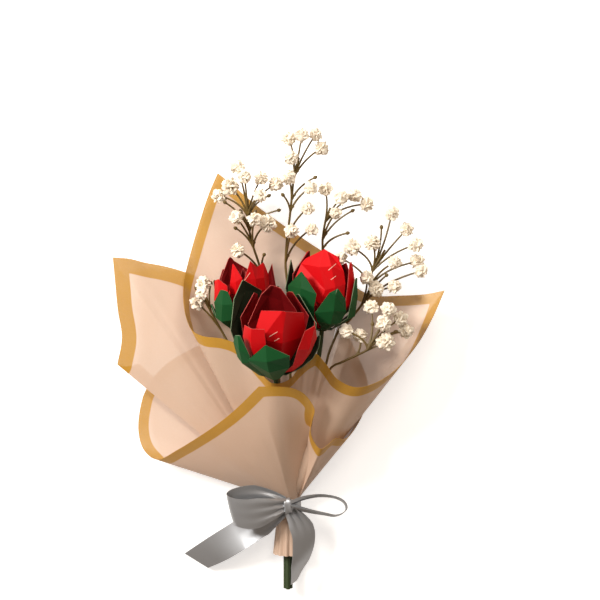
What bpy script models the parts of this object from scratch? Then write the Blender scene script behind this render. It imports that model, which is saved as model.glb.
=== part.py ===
"""Tied bouquet of three folded paper flowers, lying on its back.

The bouquet's axis is +Y, its flowers point to +Y and its front faces +Z. Design values are in
millimetres and degrees, and everything is placed from the tie, where the ribbon gathers it.
"""

import math

import bmesh
import bpy
import numpy as np

MM = 0.001

# Clearance and sheet thicknesses
TOUCH_GAP = 0.3
FILM_THICK = 0.4
PAPER_THICK = 0.5
RIBBON_THICK = 0.5

# Stems and the tie
FLOWER_STEM_RADIUS = 1.8
SPRIG_STEM_RADIUS = 1.2
SPRIG_TOP_RADIUS = 0.9
TWIG_RADIUS = 0.7
STEM_SIDES = 8
TWIG_SIDES = 5
SPRIG_STEP = 14.0
BAND_WRAP = 1.0
BAND_LENGTH = 12.0
TIE_Y = -137.0
FLOWER_STEM_END = -203.0
SPRIG_STEM_END = -156.0
PAD_RADIUS = 4.2
PAD_THICK = 1.0

# Wrapping film
FILM_PITCH = FILM_THICK + 0.5
FILM_TAIL = 30.0
FILM_TAIL_FLARE = 1.25
FILM_ROWS = (0.12, 0.3, 0.5, 0.72, 1.0)
FILM_STEP = 9.0
FLOOR_REACH = 0.5
FILM_RUN_OUT = 1.5
FLOOR_CLEARANCE = 0.2

# Folded paper units
STRIP_HALF_WIDTH = 2.5
KITE_SIDE_RATIO = 0.96

# Sizes that follow from the ones above
STRIP_PITCH = PAPER_THICK + TOUCH_GAP
FLOWER_SLOT_RADIUS = (2.0 * FLOWER_STEM_RADIUS + TOUCH_GAP) / math.sqrt(3.0)
SPRIG_SLOT_RADIUS = FLOWER_SLOT_RADIUS + FLOWER_STEM_RADIUS + TOUCH_GAP + SPRIG_STEM_RADIUS
BUNDLE_RADIUS = SPRIG_SLOT_RADIUS + SPRIG_STEM_RADIUS
INNER_RING = BUNDLE_RADIUS + TOUCH_GAP + 0.5 * FILM_THICK
LEFT_RING = INNER_RING + FILM_PITCH
OUTER_RING = LEFT_RING + FILM_PITCH
BAND_INNER = OUTER_RING + 0.5 * FILM_THICK + TOUCH_GAP
BAND_OUTER = BAND_INNER + BAND_WRAP
TIE_Z = BAND_OUTER + FLOOR_CLEARANCE
TIE_RUN = 0.5 * BAND_LENGTH + FILM_RUN_OUT

# Colours of the main pieces, linear red, green and blue
RED = (0.56, 0.012, 0.02)
GREEN = (0.05, 0.22, 0.09)
STEM_GREEN = (0.05, 0.10, 0.03)
TWIG_OLIVE = (0.10, 0.09, 0.03)
CREAM = (0.80, 0.62, 0.46)
GREY = (0.22, 0.22, 0.21)

# Film edges: runs of points between corners, each x, y and height of the film's middle
INNER_EDGE = (
    ((47, 41, 2), (43, 64, 2), (26, 74, 2), (2, 90, 2), (-22, 107, 2), (-40, 122, 2), (-58, 137, 2)),
    ((-58, 137, 2), (-66, 118, 2), (-75, 90, 2), (-82, 64, 5), (-85, 45, 14), (-83, 26, 30),
     (-77, 10, 40), (-67, 4, 46), (-51, 2, 50), (-37, -4, 54), (-24, -20, 61), (-12, -31.5, 66),
     (1, -29.5, 60), (11, -18.5, 53), (21, -9.5, 51), (30, -17.5, 56), (39, -29, 63), (54, -35, 65),
     (72, -30, 60), (88, -19, 50), (103, -2, 42), (115, 18, 37), (125, 40, 34)),
    ((125, 40, 34), (110, 37, 26), (91, 36, 18), (71, 36, 10), (57, 42, 5), (51, 50, 3.4)),
)
LEFT_EDGE = (
    ((-22, 32, 1.1), (-41, 39, 1.1), (-60, 45, 1.1), (-84, 55, 1.1), (-101, 60, 5), (-117, 63, 12),
     (-129, 66, 20), (-141, 67, 28)),
    ((-141, 67, 28), (-139, 46, 26), (-137, 24, 24), (-134, 2, 21), (-138, -20, 18)),
    ((-138, -20, 18), (-133, -22, 11), (-122, -20, 6)),
)
OUTER_EDGE = (
    ((10, 18, 0.2), (-32, 8, 0.2), (-73, -5, 0.2), (-101, -21, 2), (-116, -40, 5), (-121, -56, 8),
     (-122, -74, 12), (-117, -89, 17), (-105, -96, 24), (-88, -87, 36), (-61, -69, 52),
     (-41, -53, 62), (-22, -34, 70)),
    ((-22, -34, 70), (-9, -34, 73), (3, -35, 72), (12, -39, 70), (18, -46, 67), (21, -53, 64),
     (19, -61, 60), (18, -71, 55), (21, -79, 53), (26, -84, 54), (32, -80, 54), (38, -76, 50),
     (48.5, -76, 38.5), (61.5, -57, 22), (65, -35, 9), (57, -13, 3), (46, 12, 0.2)),
)
FILMS = (
    ("wrap_inner", INNER_EDGE, INNER_RING, -48.0, 352.0),
    ("wrap_left", LEFT_EDGE, LEFT_RING, -5.0, 95.0),
    ("wrap_outer", OUTER_EDGE, OUTER_RING, -35.0, 350.0),
)

# Folded units: bend radius at the waist of each layer
BENDS = {"bud": 5.2, "middle": 6.3, "outer": 7.2, "sepal": 8.1}

# Plain petals: radius, height and half-angle of each row from the lower fold to the tip
BUD_KITE = ((9.0, 17.0, 26.0), (13.0, 31.0, 36.0), (4.0, 49.0, 8.0))
INNER_BUD_KITE = ((8.0, 16.2, 26.0), (11.6, 30.0, 36.0), (3.0, 48.0, 10.0))
TALL_BUD_KITE = ((8.0, 16.2, 26.0), (12.0, 36.0, 34.0), (10.5, 61.0, 10.0))
CALYX_KITE = ((15.0, 4.0, 18.0), (27.5, 15.0, 24.0), (29.0, 30.0, 22.0), (26.5, 46.0, 1.5))
SHORT_KITE = ((15.0, 4.0, 18.0), (27.5, 14.0, 24.0), (28.5, 25.0, 22.0), (26.7, 36.0, 1.5))

# Flowers: name, waist centre, tilt towards the front, lean to the right, and the units from the
# inside to the outside. A unit has two petals. A petal is a plain one, as its angle and its kite, or
# it has rows from the lower fold to the tip, each of points as angle from the front, radius and height.
FLOWERS = (
    ("front", (-8.8, -23.9, 66.0), 32.0, 0.0, (
        ("bud_unit_1", (80.0, INNER_BUD_KITE), (260.0, INNER_BUD_KITE)),
        ("bud_unit_2", (-10.0, BUD_KITE), (170.0, BUD_KITE)),
        ("middle_unit_1",
         (((-50, 13, 17), (-18, 14, 16), (15, 14, 16), (56, 13, 17)),
          ((-48, 20.8, 44), (-16, 21.2, 44), (16, 20.4, 41), (80, 22.3, 37)),
          ((-41.4, 20.5, 52.9), (-18, 21, 50.2), (17, 20, 49.6), (81, 22.5, 44)),
          ((-41.9, 15, 64.2), (19.4, 17, 66.9), (28, 17.6, 66), (79.9, 21.5, 57.7))),
         (((128, 13, 17), (160, 14, 16), (200, 14, 16), (232, 13, 17)),
          ((118, 22, 38), (160, 21.5, 40), (205, 21.5, 41), (249, 22.6, 39.4)),
          ((133.5, 21, 49.1), (165, 20.5, 53), (195, 20.5, 58), (213, 20, 60.6)),
          ((166.6, 18, 65.5), (173, 18.2, 66.4), (184, 18.3, 67.6), (191.9, 18, 68.4)))),
        ("outer_unit_1",
         (((42, 13.5, 10), (58, 15.5, 8), (76, 13.5, 10)),
          ((38, 21.5, 19), (58, 24, 18), (88, 26.5, 20)),
          ((42.2, 25, 34.4), (60, 29, 32), (91, 31.2, 32.5)),
          ((58.6, 26, 47.7), (70.1, 31.2, 50.5), (92, 29.4, 47))),
         (((222, 13.5, 11), (240, 14.5, 10), (258, 13.5, 11)),
          ((215, 23, 25), (238, 24.5, 24), (254, 25, 25)),
          ((212, 25, 46), (235, 27, 46), (251, 28, 45.3)),
          ((213, 25, 58.4), (216, 25.8, 59.6), (219, 26, 60.2)))),
        ("outer_unit_2",
         (((-58, 13.5, 11.5), (-38, 14.5, 10.5), (-20, 13.5, 11.5)),
          ((-62, 24, 28), (-38, 25.5, 28), (-18, 24, 30)),
          ((-64.6, 26.4, 41.5), (-40, 27.3, 43), (-15, 25.2, 43.6)),
          ((-59.5, 26, 52.7), (-38, 27.4, 55), (-16.5, 26, 56.7))),
         (((122, 13.5, 11.5), (138, 14.5, 10.5), (156, 13.5, 11.5)),
          ((118, 25, 29), (138, 25, 28), (157, 23.4, 28)),
          ((115.2, 27.8, 44.7), (138, 26.8, 47), (160, 24.5, 50)),
          ((150.7, 26, 59.3), (156, 25.7, 59.2), (161, 25, 58.2)))),
        ("sepal_unit_1",
         (((-26, 14, 5), (-6, 15, 4), (14, 14, 5)),
          ((-38.3, 29, 24.4), (-8, 31, 22.5), (21.7, 28.6, 24)),
          ((-38.7, 32, 29.6), (-10, 33, 33), (20.4, 32, 36.6)),
          ((-14.3, 29.2, 44.8), (-12.7, 29.2, 45.2), (-10.8, 29.2, 44.9))),
         (170.0, ((15.0, 4.0, 16.0), (28.0, 21.0, 22.0), (31.0, 36.0, 25.0), (29.0, 55.0, 1.5)))),
        ("sepal_unit_2",
         (((-74, 14, 5), (-56, 15, 4), (-38, 14, 5)),
          ((-66, 31, 24), (-52, 31, 22.5), (-37, 28.5, 26)),
          ((-68, 33.4, 37), (-52, 33.6, 36), (-40.4, 30, 34)),
          ((-63, 33, 45), (-55, 33.2, 47.6), (-50.9, 32.6, 48.1))),
         (((108, 14, 5), (125, 15, 4), (142, 14, 5)),
          ((104, 30, 23), (125, 31, 22), (147, 30.4, 23)),
          ((110, 33, 38), (127, 33.4, 40), (149, 32.8, 38)),
          ((143.9, 31, 54.9), (146.4, 31.2, 55.4), (149, 31, 54.6)))),
        ("sepal_unit_3",
         (((74, 14, 4), (88, 15, 3), (101, 14, 4)),
          ((98, 20, 3), (109, 20.5, 2), (119, 19, 0.5)),
          ((103, 29, 9), (113, 29, 7), (123, 27, 5)),
          ((104, 34, 18), (114, 33.5, 15.5), (123, 31.5, 13.5)),
          ((104, 35.2, 28.2), (106, 35, 28.6), (108.5, 34.6, 27.6))),
         (((228, 14, 5), (246, 15, 4), (264, 14, 5)),
          ((215, 29, 23), (240, 31, 22), (262, 31, 24)),
          ((205, 31.6, 44), (238, 33.8, 42), (266, 34, 38)),
          ((199.8, 31, 56.5), (226, 32.2, 61), (250.6, 33, 60.4)),
          ((229.6, 31, 71.4), (232, 31, 72.1), (234.2, 31.2, 71.4)))),
    )),
    ("right", (27.2, 10.2, 38.0), 18.0, 3.0, (
        ("bud_unit_1", (70.0, TALL_BUD_KITE), (260.0, INNER_BUD_KITE)),
        ("bud_unit_2", (-10.0, BUD_KITE), (170.0, BUD_KITE)),
        ("middle_unit_1",
         (((-58, 12.5, 15), (-28, 13, 14), (0, 13, 14), (34, 12.5, 15)),
          ((-72, 22, 32), (-10, 20, 27), (16, 20, 28), (46, 21, 30.5)),
          ((-80, 23.6, 41.8), (0, 20, 38), (22, 20.5, 40), (47, 21, 42)),
          ((-84, 19.4, 52.7), (-19.3, 16.6, 54.7), (12, 16.8, 56), (45.4, 19, 51.6)),
          ((-88, 15.9, 56.7), (-17.4, 6.4, 66.5), (2, 7.6, 65.6), (38.5, 13, 62.3))),
         (175.0, ((13.0, 14.0, 30.0), (21.0, 32.0, 48.0), (18.5, 48.0, 38.0), (13.7, 58.6, 12.0)))),
        ("outer_unit_1",
         (((46, 13, 11), (64, 14, 10), (82, 13, 11)),
          ((45, 22.8, 24), (64, 23.8, 24), (84, 22.6, 25)),
          ((48, 23, 40), (66, 23.9, 42), (88, 23, 42)),
          ((60, 20.5, 56.5), (66, 20.8, 58.2), (76, 21, 54.5))),
         (((218, 13, 11), (240, 14, 10), (258, 13, 11)),
          ((212, 23.4, 26), (240, 25, 26), (262, 25, 28)),
          ((210, 23, 42), (240, 25.6, 44), (266, 25.4, 43)),
          ((218.6, 20.4, 58), (221.3, 20.4, 58.7), (226, 20.8, 57.6)))),
        ("outer_unit_2",
         (((-56, 13, 12), (-38, 14, 11), (-20, 13, 12)),
          ((-62, 24.4, 24), (-38, 25, 24), (-14, 23.6, 26)),
          ((-60, 25.4, 36), (-42, 26, 38), (-26, 24.2, 38)),
          ((-42, 24.4, 46.5), (-39, 24.6, 47.5), (-36, 24.4, 46.5))),
         (((124, 13, 12), (142, 14, 11), (160, 13, 12)),
          ((122, 23.8, 26), (142, 24.4, 26), (162, 23.4, 26)),
          ((120, 24.6, 38), (140, 24.8, 42), (160, 23, 42)),
          ((128.6, 22, 49.6), (131.8, 22.2, 50.5), (136, 21.8, 49.5)))),
        ("sepal_unit_1",
         (((-4, 13, 5), (14, 14, 4), (32, 13, 5)),
          ((-12, 24.4, 14), (12, 25.4, 12), (34, 23.6, 12)),
          ((-14.7, 28, 21.5), (14, 29.2, 24), (37.4, 28, 22.3)),
          ((6.2, 27.3, 38.1), (16, 28, 37), (35, 27.5, 32)),
          ((18.6, 26.3, 40.6), (20.2, 26.3, 40.9), (22.2, 26.3, 40.4))),
         (196.0, CALYX_KITE)),
        ("sepal_unit_2",
         (((-62, 13, 5), (-44, 14, 4), (-26, 13, 5)),
          ((-78, 23.4, 14), (-46, 25.4, 12), (-19, 22.4, 13)),
          ((-86, 28.4, 28), (-42, 28.8, 26), (-18, 26, 26)),
          ((-84, 28.6, 35), (-40, 29, 39), (-14.4, 26.8, 36.1)),
          ((-49, 25.8, 50.4), (-46.6, 26, 51), (-44, 26, 50.4))),
         (138.0, CALYX_KITE)),
        ("sepal_unit_3",
         (((60, 13, 5), (76, 14, 4), (92, 13, 5)),
          ((54, 23.4, 14), (78, 25.4, 13), (100, 24, 14)),
          ((52, 26.2, 29), (76, 26.8, 30), (98, 26, 30)),
          ((62, 25.8, 45.2), (66, 26, 46.3), (71, 26, 45.2))),
         (((236, 13, 5), (254, 14, 4), (272, 13, 5)),
          ((230, 25, 14), (253, 27.5, 14), (268, 27, 15)),
          ((232, 28, 30), (252, 30, 31), (267, 30.6, 31)),
          ((262.6, 27.4, 53.7), (266, 27.6, 54.6), (269, 27.6, 53.8)))),
    )),
    ("left", (-34.5, 9.3, 27.0), 18.0, -2.0, (
        ("bud_unit_1", (76.0, INNER_BUD_KITE), (258.0, INNER_BUD_KITE)),
        ("bud_unit_2",
         (((-30, 9.4, 17), (-13, 10.2, 16), (5, 9.4, 17)),
          ((-34, 16.6, 34), (-13, 18, 35), (6, 17.4, 36)),
          ((-32, 16.6, 43), (-13, 17.8, 45), (3, 17.4, 48)),
          ((-25, 14.6, 58), (-22.7, 14.8, 58.7), (-20, 14.8, 58))),
         (168.0, BUD_KITE)),
        ("middle_unit_1",
         (((14, 12.5, 15), (32, 13, 14), (54, 13, 14), (74, 12.5, 15)),
          ((-4, 21.6, 39), (34, 20.6, 36), (60, 21, 36), (86, 21, 37)),
          ((8, 20, 47.5), (36, 18.8, 46), (64, 19.6, 45), (90, 20.6, 45)),
          ((32.7, 14, 59.8), (58, 14.6, 53.4), (84, 17.2, 55.4), (92, 18, 53))),
         (((192, 12.5, 15), (210, 13, 14), (230, 13, 14), (250, 12.5, 15)),
          ((166, 21, 32), (190, 21.6, 32), (215, 22.4, 32), (238, 22.4, 30)),
          ((169, 21.6, 43.2), (190, 21.6, 45), (212, 22, 46), (231.8, 22.6, 39)),
          ((199, 21.6, 51), (203, 21.8, 53.4), (207.4, 22, 54.7), (212, 22, 53.2)))),
        ("outer_unit_1",
         (((-60, 13.5, 11), (-42, 14.5, 10), (-24, 13.5, 11)),
          ((-68, 24, 28), (-46, 25.2, 28), (-24, 24.2, 30)),
          ((-62, 23.6, 44.6), (-48.6, 23.6, 47.1), (-27, 23.6, 43))),
         (((104, 13.5, 11), (120, 14.5, 10), (136, 13.5, 11)),
          ((94, 26.4, 33), (118, 25.6, 31), (138, 24.2, 31)),
          ((91, 24, 53), (94, 24.2, 53.2), (98, 24.2, 52)))),
        ("outer_unit_2",
         (40.0, ((14.5, 11.0, 18.0), (25.2, 24.0, 24.0), (24.4, 36.0, 3.0))),
         (222.0, ((14.5, 11.0, 18.0), (25.6, 30.0, 22.0), (24.4, 45.0, 3.0)))),
        ("sepal_unit_1",
         (((-60, 14, 5), (-43, 15, 4), (-27, 14, 5)),
          ((-55, 25.6, 15), (-38, 27, 14), (-20, 25.4, 16)),
          ((-51.5, 27.8, 28.7), (-31.5, 29, 28.6), (-14, 27.8, 30)),
          ((-37, 26.8, 40), (-30, 27.2, 40.5), (-22, 27, 39.4))),
         (150.0, CALYX_KITE)),
        ("sepal_unit_2",
         (36.0, SHORT_KITE),
         (((198, 14, 5), (216, 15, 4), (234, 14, 5)),
          ((196, 26, 16), (216, 27.6, 15), (234, 26.6, 14)),
          ((198, 28.4, 28), (218, 28.8, 28), (236, 28, 24)),
          ((236, 27.2, 36.8), (239, 27.4, 37.6), (242, 27.2, 36.8)))),
        ("sepal_unit_3",
         (95.0, ((15.0, 4.0, 16.0), (27.5, 14.0, 22.0), (29.4, 25.0, 20.0), (28.8, 34.0, 2.5))),
         (273.0, ((15.0, 4.0, 12.0), (23.5, 12.0, 14.0), (26.2, 22.0, 3.0)))),
    )),
)
FLOWER_SLOTS = {"front": 90.0, "left": 210.0, "right": 330.0}

# Sprigs: angle of the slot in the tie, main stem, flower heads (x, y, z, radius) and buds
SPRIGS = {
    "a": (
        228.0,
        ((-10, 8, 8), (-21, 53, 10), (-28, 75, 18), (-31, 88, 24), (-32, 99, 28), (-32, 113, 33)),
        ((-40, 138, 40, 5.0), (-34, 129, 46, 4.6), (-46, 123, 34, 7.0), (-55, 116, 30, 5.2),
         (-41, 98, 36, 5.0), (-21, 129, 38, 5.0), (-22, 115, 46, 5.0), (-10, 125, 33, 5.2),
         (-26, 96, 44, 5.0), (-16, 93, 36, 6.4), (-40, 72, 32, 5.2)),
        ((-42, 90, 30), (-38, 104, 26), (-26, 103, 34), (-15, 116, 30), (-7, 104, 34),
         (-19, 69, 26), (-50, 110, 38)),
    ),
    "b": (
        270.0,
        ((2, 8, 9), (-2, 63, 14), (1, 95, 26), (2, 103, 30), (3, 112, 33), (5, 130, 38), (9, 145, 41)),
        ((1, 160, 42, 5.0), (11, 162, 48, 5.0), (22, 163, 42, 4.6), (27, 153, 38, 5.0),
         (3, 144, 49, 5.0), (1, 129, 44, 5.2), (18, 121, 42, 4.6), (16, 105, 40, 4.6),
         (3, 87, 38, 5.2), (19, 89, 34, 4.6)),
        ((22, 130, 36), (-4, 116, 38)),
    ),
    "c": (
        316.0,
        ((15, 8, 8), (27, 61, 10), (28, 81, 20), (30, 95, 28), (34, 106, 32)),
        ((30, 121, 34, 5.2), (42, 113, 43, 5.0), (53, 116, 34, 5.2), (63, 109, 32, 5.2),
         (38, 101, 44, 4.2)),
        ((52, 104, 30), (48, 86, 30)),
    ),
    "d": (
        2.0,
        ((34, -8, 19), (48, 14, 15), (60, 29, 17), (66, 43, 29), (67, 55, 38), (77, 72, 42)),
        ((51, 74, 42, 6.4), (42, 66, 34, 4.6), (67, 77, 48, 6.0), (82, 101, 46, 5.0),
         (94, 88, 42, 5.0), (101, 76, 46, 5.2), (103, 63, 36, 5.4), (105, 55, 46, 4.6),
         (84, 62, 50, 4.6), (62, 50, 51, 5.0), (70, 41, 44, 6.0), (84, 43, 42, 5.0)),
        ((74, 90, 44), (78, 52, 47)),
    ),
    "e": (
        42.0,
        ((27, -35, 36), (41, -17, 50), (53, -11, 56), (62, -6, 60), (68, 4, 62)),
        ((65, 27, 56, 5.2), (78, 25, 62, 5.2), (74, 14, 68, 5.4), (88, 18, 54, 5.4),
         (93, 8, 50, 5.2), (76, 0, 62, 6.6), (46, 8, 54, 5.0), (57, 4, 49, 5.0)),
        ((84, 8, 62), (66, 14, 60)),
    ),
    "f": (
        176.0,
        ((-35, -32, 20), (-54, 8, 20), (-62, 23, 24), (-66, 32, 27)),
        ((-67, 46, 32, 5.4), (-73, 30, 26, 5.2), (-68, 38, 40, 4.6)),
        ((-62, 46, 22), (-74, 42, 24)),
    ),
}
BUD_RADIUS = 1.5
BUD_LENGTH = 3.6
HEAD_LUMPINESS = 0.12
RANDOM_SEED = 11

# Ribbon: knot, loops and tails
RIBBON_WIDTH = 24.0
RIBBON_STEP = 4.5
KNOT_SIZE = (10.0, 13.0, 9.0)
KNOT_OFFSET = 4.0
KNOT_SINK = 0.7 * BAND_WRAP
LEFT_LOOP = ((-2, -132, 25), (-14, -129, 26.5), (-29, -128, 28), (-41, -130, 30.5), (-46, -133, 34.5),
             (-42, -136, 38.5), (-31, -137.5, 39), (-17, -136, 35), (-2, -133, 27))
RIGHT_LOOP = ((2, -131, 27), (12, -126.5, 29), (25.7, -124.2, 30), (38, -125.6, 30), (45, -129.5, 29.5),
              (47, -134.5, 29), (44.5, -138.4, 28.5), (38, -140.6, 28), (30, -139.2, 28),
              (20, -137.4, 27.5), (10, -135, 27), (2, -133, 26))
LEFT_TAIL = ((-2, -134, 24), (-13, -141, 24), (-28, -150.5, 18), (-45, -162, 10), (-62, -173.5, 4),
             (-75.5, -182, 1.2))
RIGHT_TAIL = ((2, -136, 25), (8.5, -145, 24.5), (12.6, -156, 24), (12.6, -167, 22.5), (10.8, -177, 21.5),
              (7.6, -187, 20), (4.8, -196.5, 18))

# Ribbon strips: path, width directions and width shares at the start, middle and end
RIBBON_STRIPS = (
    (LEFT_LOOP, ((0.1, 1.0, 0.0), (-0.24, 1.0, 0.1), (0.1, 1.0, 0.0)), (0.5, 1.0, 0.5)),
    (RIGHT_LOOP, ((0.1, 0.4, 1.0), (0.1, 0.28, 1.0), (0.1, 0.4, 1.0)), (0.4, 0.5, 0.4)),
    (LEFT_TAIL, ((-0.4, 0.9, 0.0), (-0.55, 0.84, 0.0), (-0.86, 0.5, 0.0)), (0.5, 1.0, 0.95)),
    (RIGHT_TAIL, ((0.95, 0.2, -0.2), (0.86, 0.1, -0.5), (0.4, 0.1, -0.9)), (0.45, 0.85, 0.5)),
)
RIBBON_CROSS_COLUMNS = 3


def clear_scene():
    """Remove every object of the start-up scene."""
    for item in list(bpy.data.objects):
        bpy.data.objects.remove(item, do_unlink=True)


def make_material(name, colour, roughness):
    """Return a plain Principled material."""
    material = bpy.data.materials.new(name)
    material.use_nodes = True
    shader = material.node_tree.nodes["Principled BSDF"]
    shader.inputs["Base Color"].default_value = (*colour, 1.0)
    shader.inputs["Roughness"].default_value = roughness
    return material


def mesh_from(name, points, faces):
    """Make a mesh in metres from points in millimetres, with its faces turned outwards."""
    mesh = bpy.data.meshes.new(name)
    mesh.from_pydata([tuple(float(c) * MM for c in p) for p in points], [], faces)
    work = bmesh.new()
    work.from_mesh(mesh)
    bmesh.ops.recalc_face_normals(work, faces=work.faces)
    bmesh.ops.triangulate(work, faces=[f for f in work.faces if len(f.verts) > 4])
    work.to_mesh(mesh)
    work.free()
    return mesh


def add_node(name, mesh, material):
    """Link a mesh as a named object with its material."""
    node = bpy.data.objects.new(name, mesh)
    bpy.context.scene.collection.objects.link(node)
    mesh.materials.clear()
    mesh.materials.append(material)
    return node


def smooth_run(points, step):
    """Read points every step or so along a Catmull-Rom curve through the given points."""
    pts = np.array(points, dtype=float)
    padded = np.vstack([2.0 * pts[0] - pts[1], pts, 2.0 * pts[-1] - pts[-2]])
    result = [pts[0]]
    for k in range(1, len(padded) - 2):
        p0, p1, p2, p3 = padded[k - 1:k + 3]
        count = max(1, round(float(np.linalg.norm(p2 - p1)) / step))
        for i in range(1, count + 1):
            t = i / count
            result.append(0.5 * (2.0 * p1 + (p2 - p0) * t
                                 + (2.0 * p0 - 5.0 * p1 + 4.0 * p2 - p3) * t ** 2
                                 + (3.0 * p1 - p0 - 3.0 * p2 + p3) * t ** 3))
    return np.array(result)


def smooth_runs(runs, step):
    """Join smooth runs end to end, keeping the corners between them."""
    parts = [smooth_run(run, step) for run in runs]
    return np.vstack([parts[0]] + [part[1:] for part in parts[1:]])


def unit(vector):
    """Return a vector of length one."""
    return vector / max(float(np.linalg.norm(vector)), 1e-9)


def grid_normals(grid):
    """Return a normal for each point of a grid, longer where the sheet bends."""
    rows, columns, _ = grid.shape
    sums = np.zeros_like(grid)
    faces = [[[] for _ in range(columns)] for _ in range(rows)]
    for i in range(rows - 1):
        for j in range(columns - 1):
            a, b, c, d = grid[i, j], grid[i + 1, j], grid[i + 1, j + 1], grid[i, j + 1]
            normal = unit(np.cross(c - a, d - b))
            for r, s in ((i, j), (i + 1, j), (i + 1, j + 1), (i, j + 1)):
                sums[r, s] += normal
                faces[r][s].append(normal)
    for i in range(rows):
        for j in range(columns):
            mean = unit(sums[i, j])
            cosine = min(float(np.dot(mean, n)) for n in faces[i][j])
            sums[i, j] = mean / max(cosine, 0.6)
    return sums


def sheet_solid(grid, thickness):
    """Return the points and faces of a closed sheet around a grid of middle points."""
    rows, columns, _ = grid.shape
    offset = grid_normals(grid) * 0.5 * thickness
    points = list((grid + offset).reshape(-1, 3)) + list((grid - offset).reshape(-1, 3))
    under = rows * columns
    faces = []
    for i in range(rows - 1):
        for j in range(columns - 1):
            a, b = i * columns + j, (i + 1) * columns + j
            for one, two, three in ((a, b, b + 1), (a, b + 1, a + 1)):
                faces.append((one, two, three))
                faces.append((one + under, three + under, two + under))
    rim = [j for j in range(columns)]
    rim += [i * columns + columns - 1 for i in range(1, rows)]
    rim += [(rows - 1) * columns + j for j in range(columns - 2, -1, -1)]
    rim += [i * columns for i in range(rows - 2, 0, -1)]
    for a, b in zip(rim, rim[1:] + rim[:1]):
        faces.append((a, b, b + under))
        faces.append((a, b + under, a + under))
    return points, faces


def tube_solid(centres, radii, sides):
    """Return the points and faces of a tube of changing radius with flat ends."""
    centres = np.array(centres, dtype=float)
    count = len(centres)
    tangents = np.gradient(centres, axis=0)
    across = unit(np.cross(tangents[0], (0.0, 0.13, 1.0)))
    points, faces = [], []
    for i in range(count):
        tangent = unit(tangents[i])
        across = unit(across - tangent * np.dot(across, tangent))
        up = np.cross(tangent, across)
        for k in range(sides):
            angle = 2.0 * math.pi * k / sides
            points.append(centres[i] + radii[i] * (math.cos(angle) * across + math.sin(angle) * up))
    for i in range(count - 1):
        for k in range(sides):
            n = (k + 1) % sides
            faces.append((i * sides + k, i * sides + n, (i + 1) * sides + n, (i + 1) * sides + k))
    faces.append(tuple(range(sides - 1, -1, -1)))
    faces.append(tuple((count - 1) * sides + k for k in range(sides)))
    return points, faces


def union_mesh(name, solids):
    """Join overlapping closed solids into one body with a Boolean union."""
    pieces = []
    for index, (points, faces) in enumerate(solids):
        piece = bpy.data.objects.new(f"{name}_piece_{index}", mesh_from(name, points, faces))
        bpy.context.scene.collection.objects.link(piece)
        pieces.append(piece)
    group = bpy.data.collections.new(f"{name}_pieces")
    for piece in pieces[1:]:
        group.objects.link(piece)
    joint = pieces[0].modifiers.new("union", "BOOLEAN")
    joint.operation = "UNION"
    joint.solver = "EXACT"
    joint.use_self = True
    joint.operand_type = "COLLECTION"
    joint.collection = group
    graph = bpy.context.evaluated_depsgraph_get()
    mesh = bpy.data.meshes.new_from_object(pieces[0].evaluated_get(graph))
    mesh.name = name
    for piece in pieces:
        bpy.data.objects.remove(piece, do_unlink=True)
    bpy.data.collections.remove(group)
    return mesh


def ring_point(radius, angle, y):
    """Return a point on a ring round the tie, with angle 0 at the floor and 90 at the left."""
    turn = math.radians(angle)
    return np.array((-radius * math.sin(turn), y, TIE_Z - radius * math.cos(turn)))


def film_grid(edge_runs, ring_radius, first_angle, last_angle):
    """Return the grid of a film that is gathered at the tie and opens to its edge."""
    edge = smooth_runs(edge_runs, FILM_STEP)
    edge[:, 2] = np.maximum(edge[:, 2], min(point[2] for run in edge_runs for point in run))
    tie = np.array((0.0, TIE_Y, TIE_Z))
    directions = np.array([unit(p - tie) for p in edge])
    steps = np.linalg.norm(np.diff(directions, axis=0), axis=1)
    shares = np.concatenate([[0.0], np.cumsum(steps)]) / float(np.sum(steps))
    angles = first_angle + shares * (last_angle - first_angle)
    top, bottom = TIE_Y + TIE_RUN, TIE_Y - TIE_RUN
    tail_radius = ring_radius * FILM_TAIL_FLARE
    rows = [
        [ring_point(tail_radius, a, bottom - FILM_TAIL) for a in angles],
        [ring_point(ring_radius, a, bottom) for a in angles],
        [ring_point(ring_radius, a, top) for a in angles],
    ]
    starts = np.array(rows[-1])
    for share in FILM_ROWS:
        row = starts + share * (edge - starts)
        low = edge[:, 2] < TIE_Z
        drop = np.minimum(1.0, share / FLOOR_REACH)
        row[low, 2] = starts[low, 2] + drop * (edge[low, 2] - starts[low, 2])
        rows.append(list(row))
    return np.array(rows)


def build_films(material):
    """Build the wrapping films from inside to outside."""
    for name, edge, ring, first, last in FILMS:
        points, faces = sheet_solid(film_grid(edge, ring, first, last), FILM_THICK)
        points = [(x, y, max(z, 0.0)) for x, y, z in points]
        add_node(name, mesh_from(name, points, faces), material)


def head_frame(tilt, lean):
    """Return a flower's axis, its right and its front as unit vectors."""
    a, b = math.radians(tilt), math.radians(lean)
    axis = unit(np.array((math.sin(b), math.cos(a) * math.cos(b), math.sin(a) * math.cos(b))))
    right = unit(np.cross(axis, (0.0, -math.sin(a), math.cos(a))))
    front = np.cross(right, axis)
    return axis, right, front


def kite_rows(angle, kite, columns):
    """Return a plain petal's rows of points as angle, radius and height."""
    shares = np.linspace(-1.0, 1.0, columns)
    return [[(angle + s * half, radius * (1.0 - (1.0 - KITE_SIDE_RATIO) * abs(s)), height)
             for s in shares] for radius, height, half in kite]


def shell_point(angle, radius, height, head):
    """Return the place of a point given by its angle from the front, radius and height."""
    axis, right, front = head
    turn = math.radians(angle)
    return radius * (math.cos(turn) * front + math.sin(turn) * right) + height * axis


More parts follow.
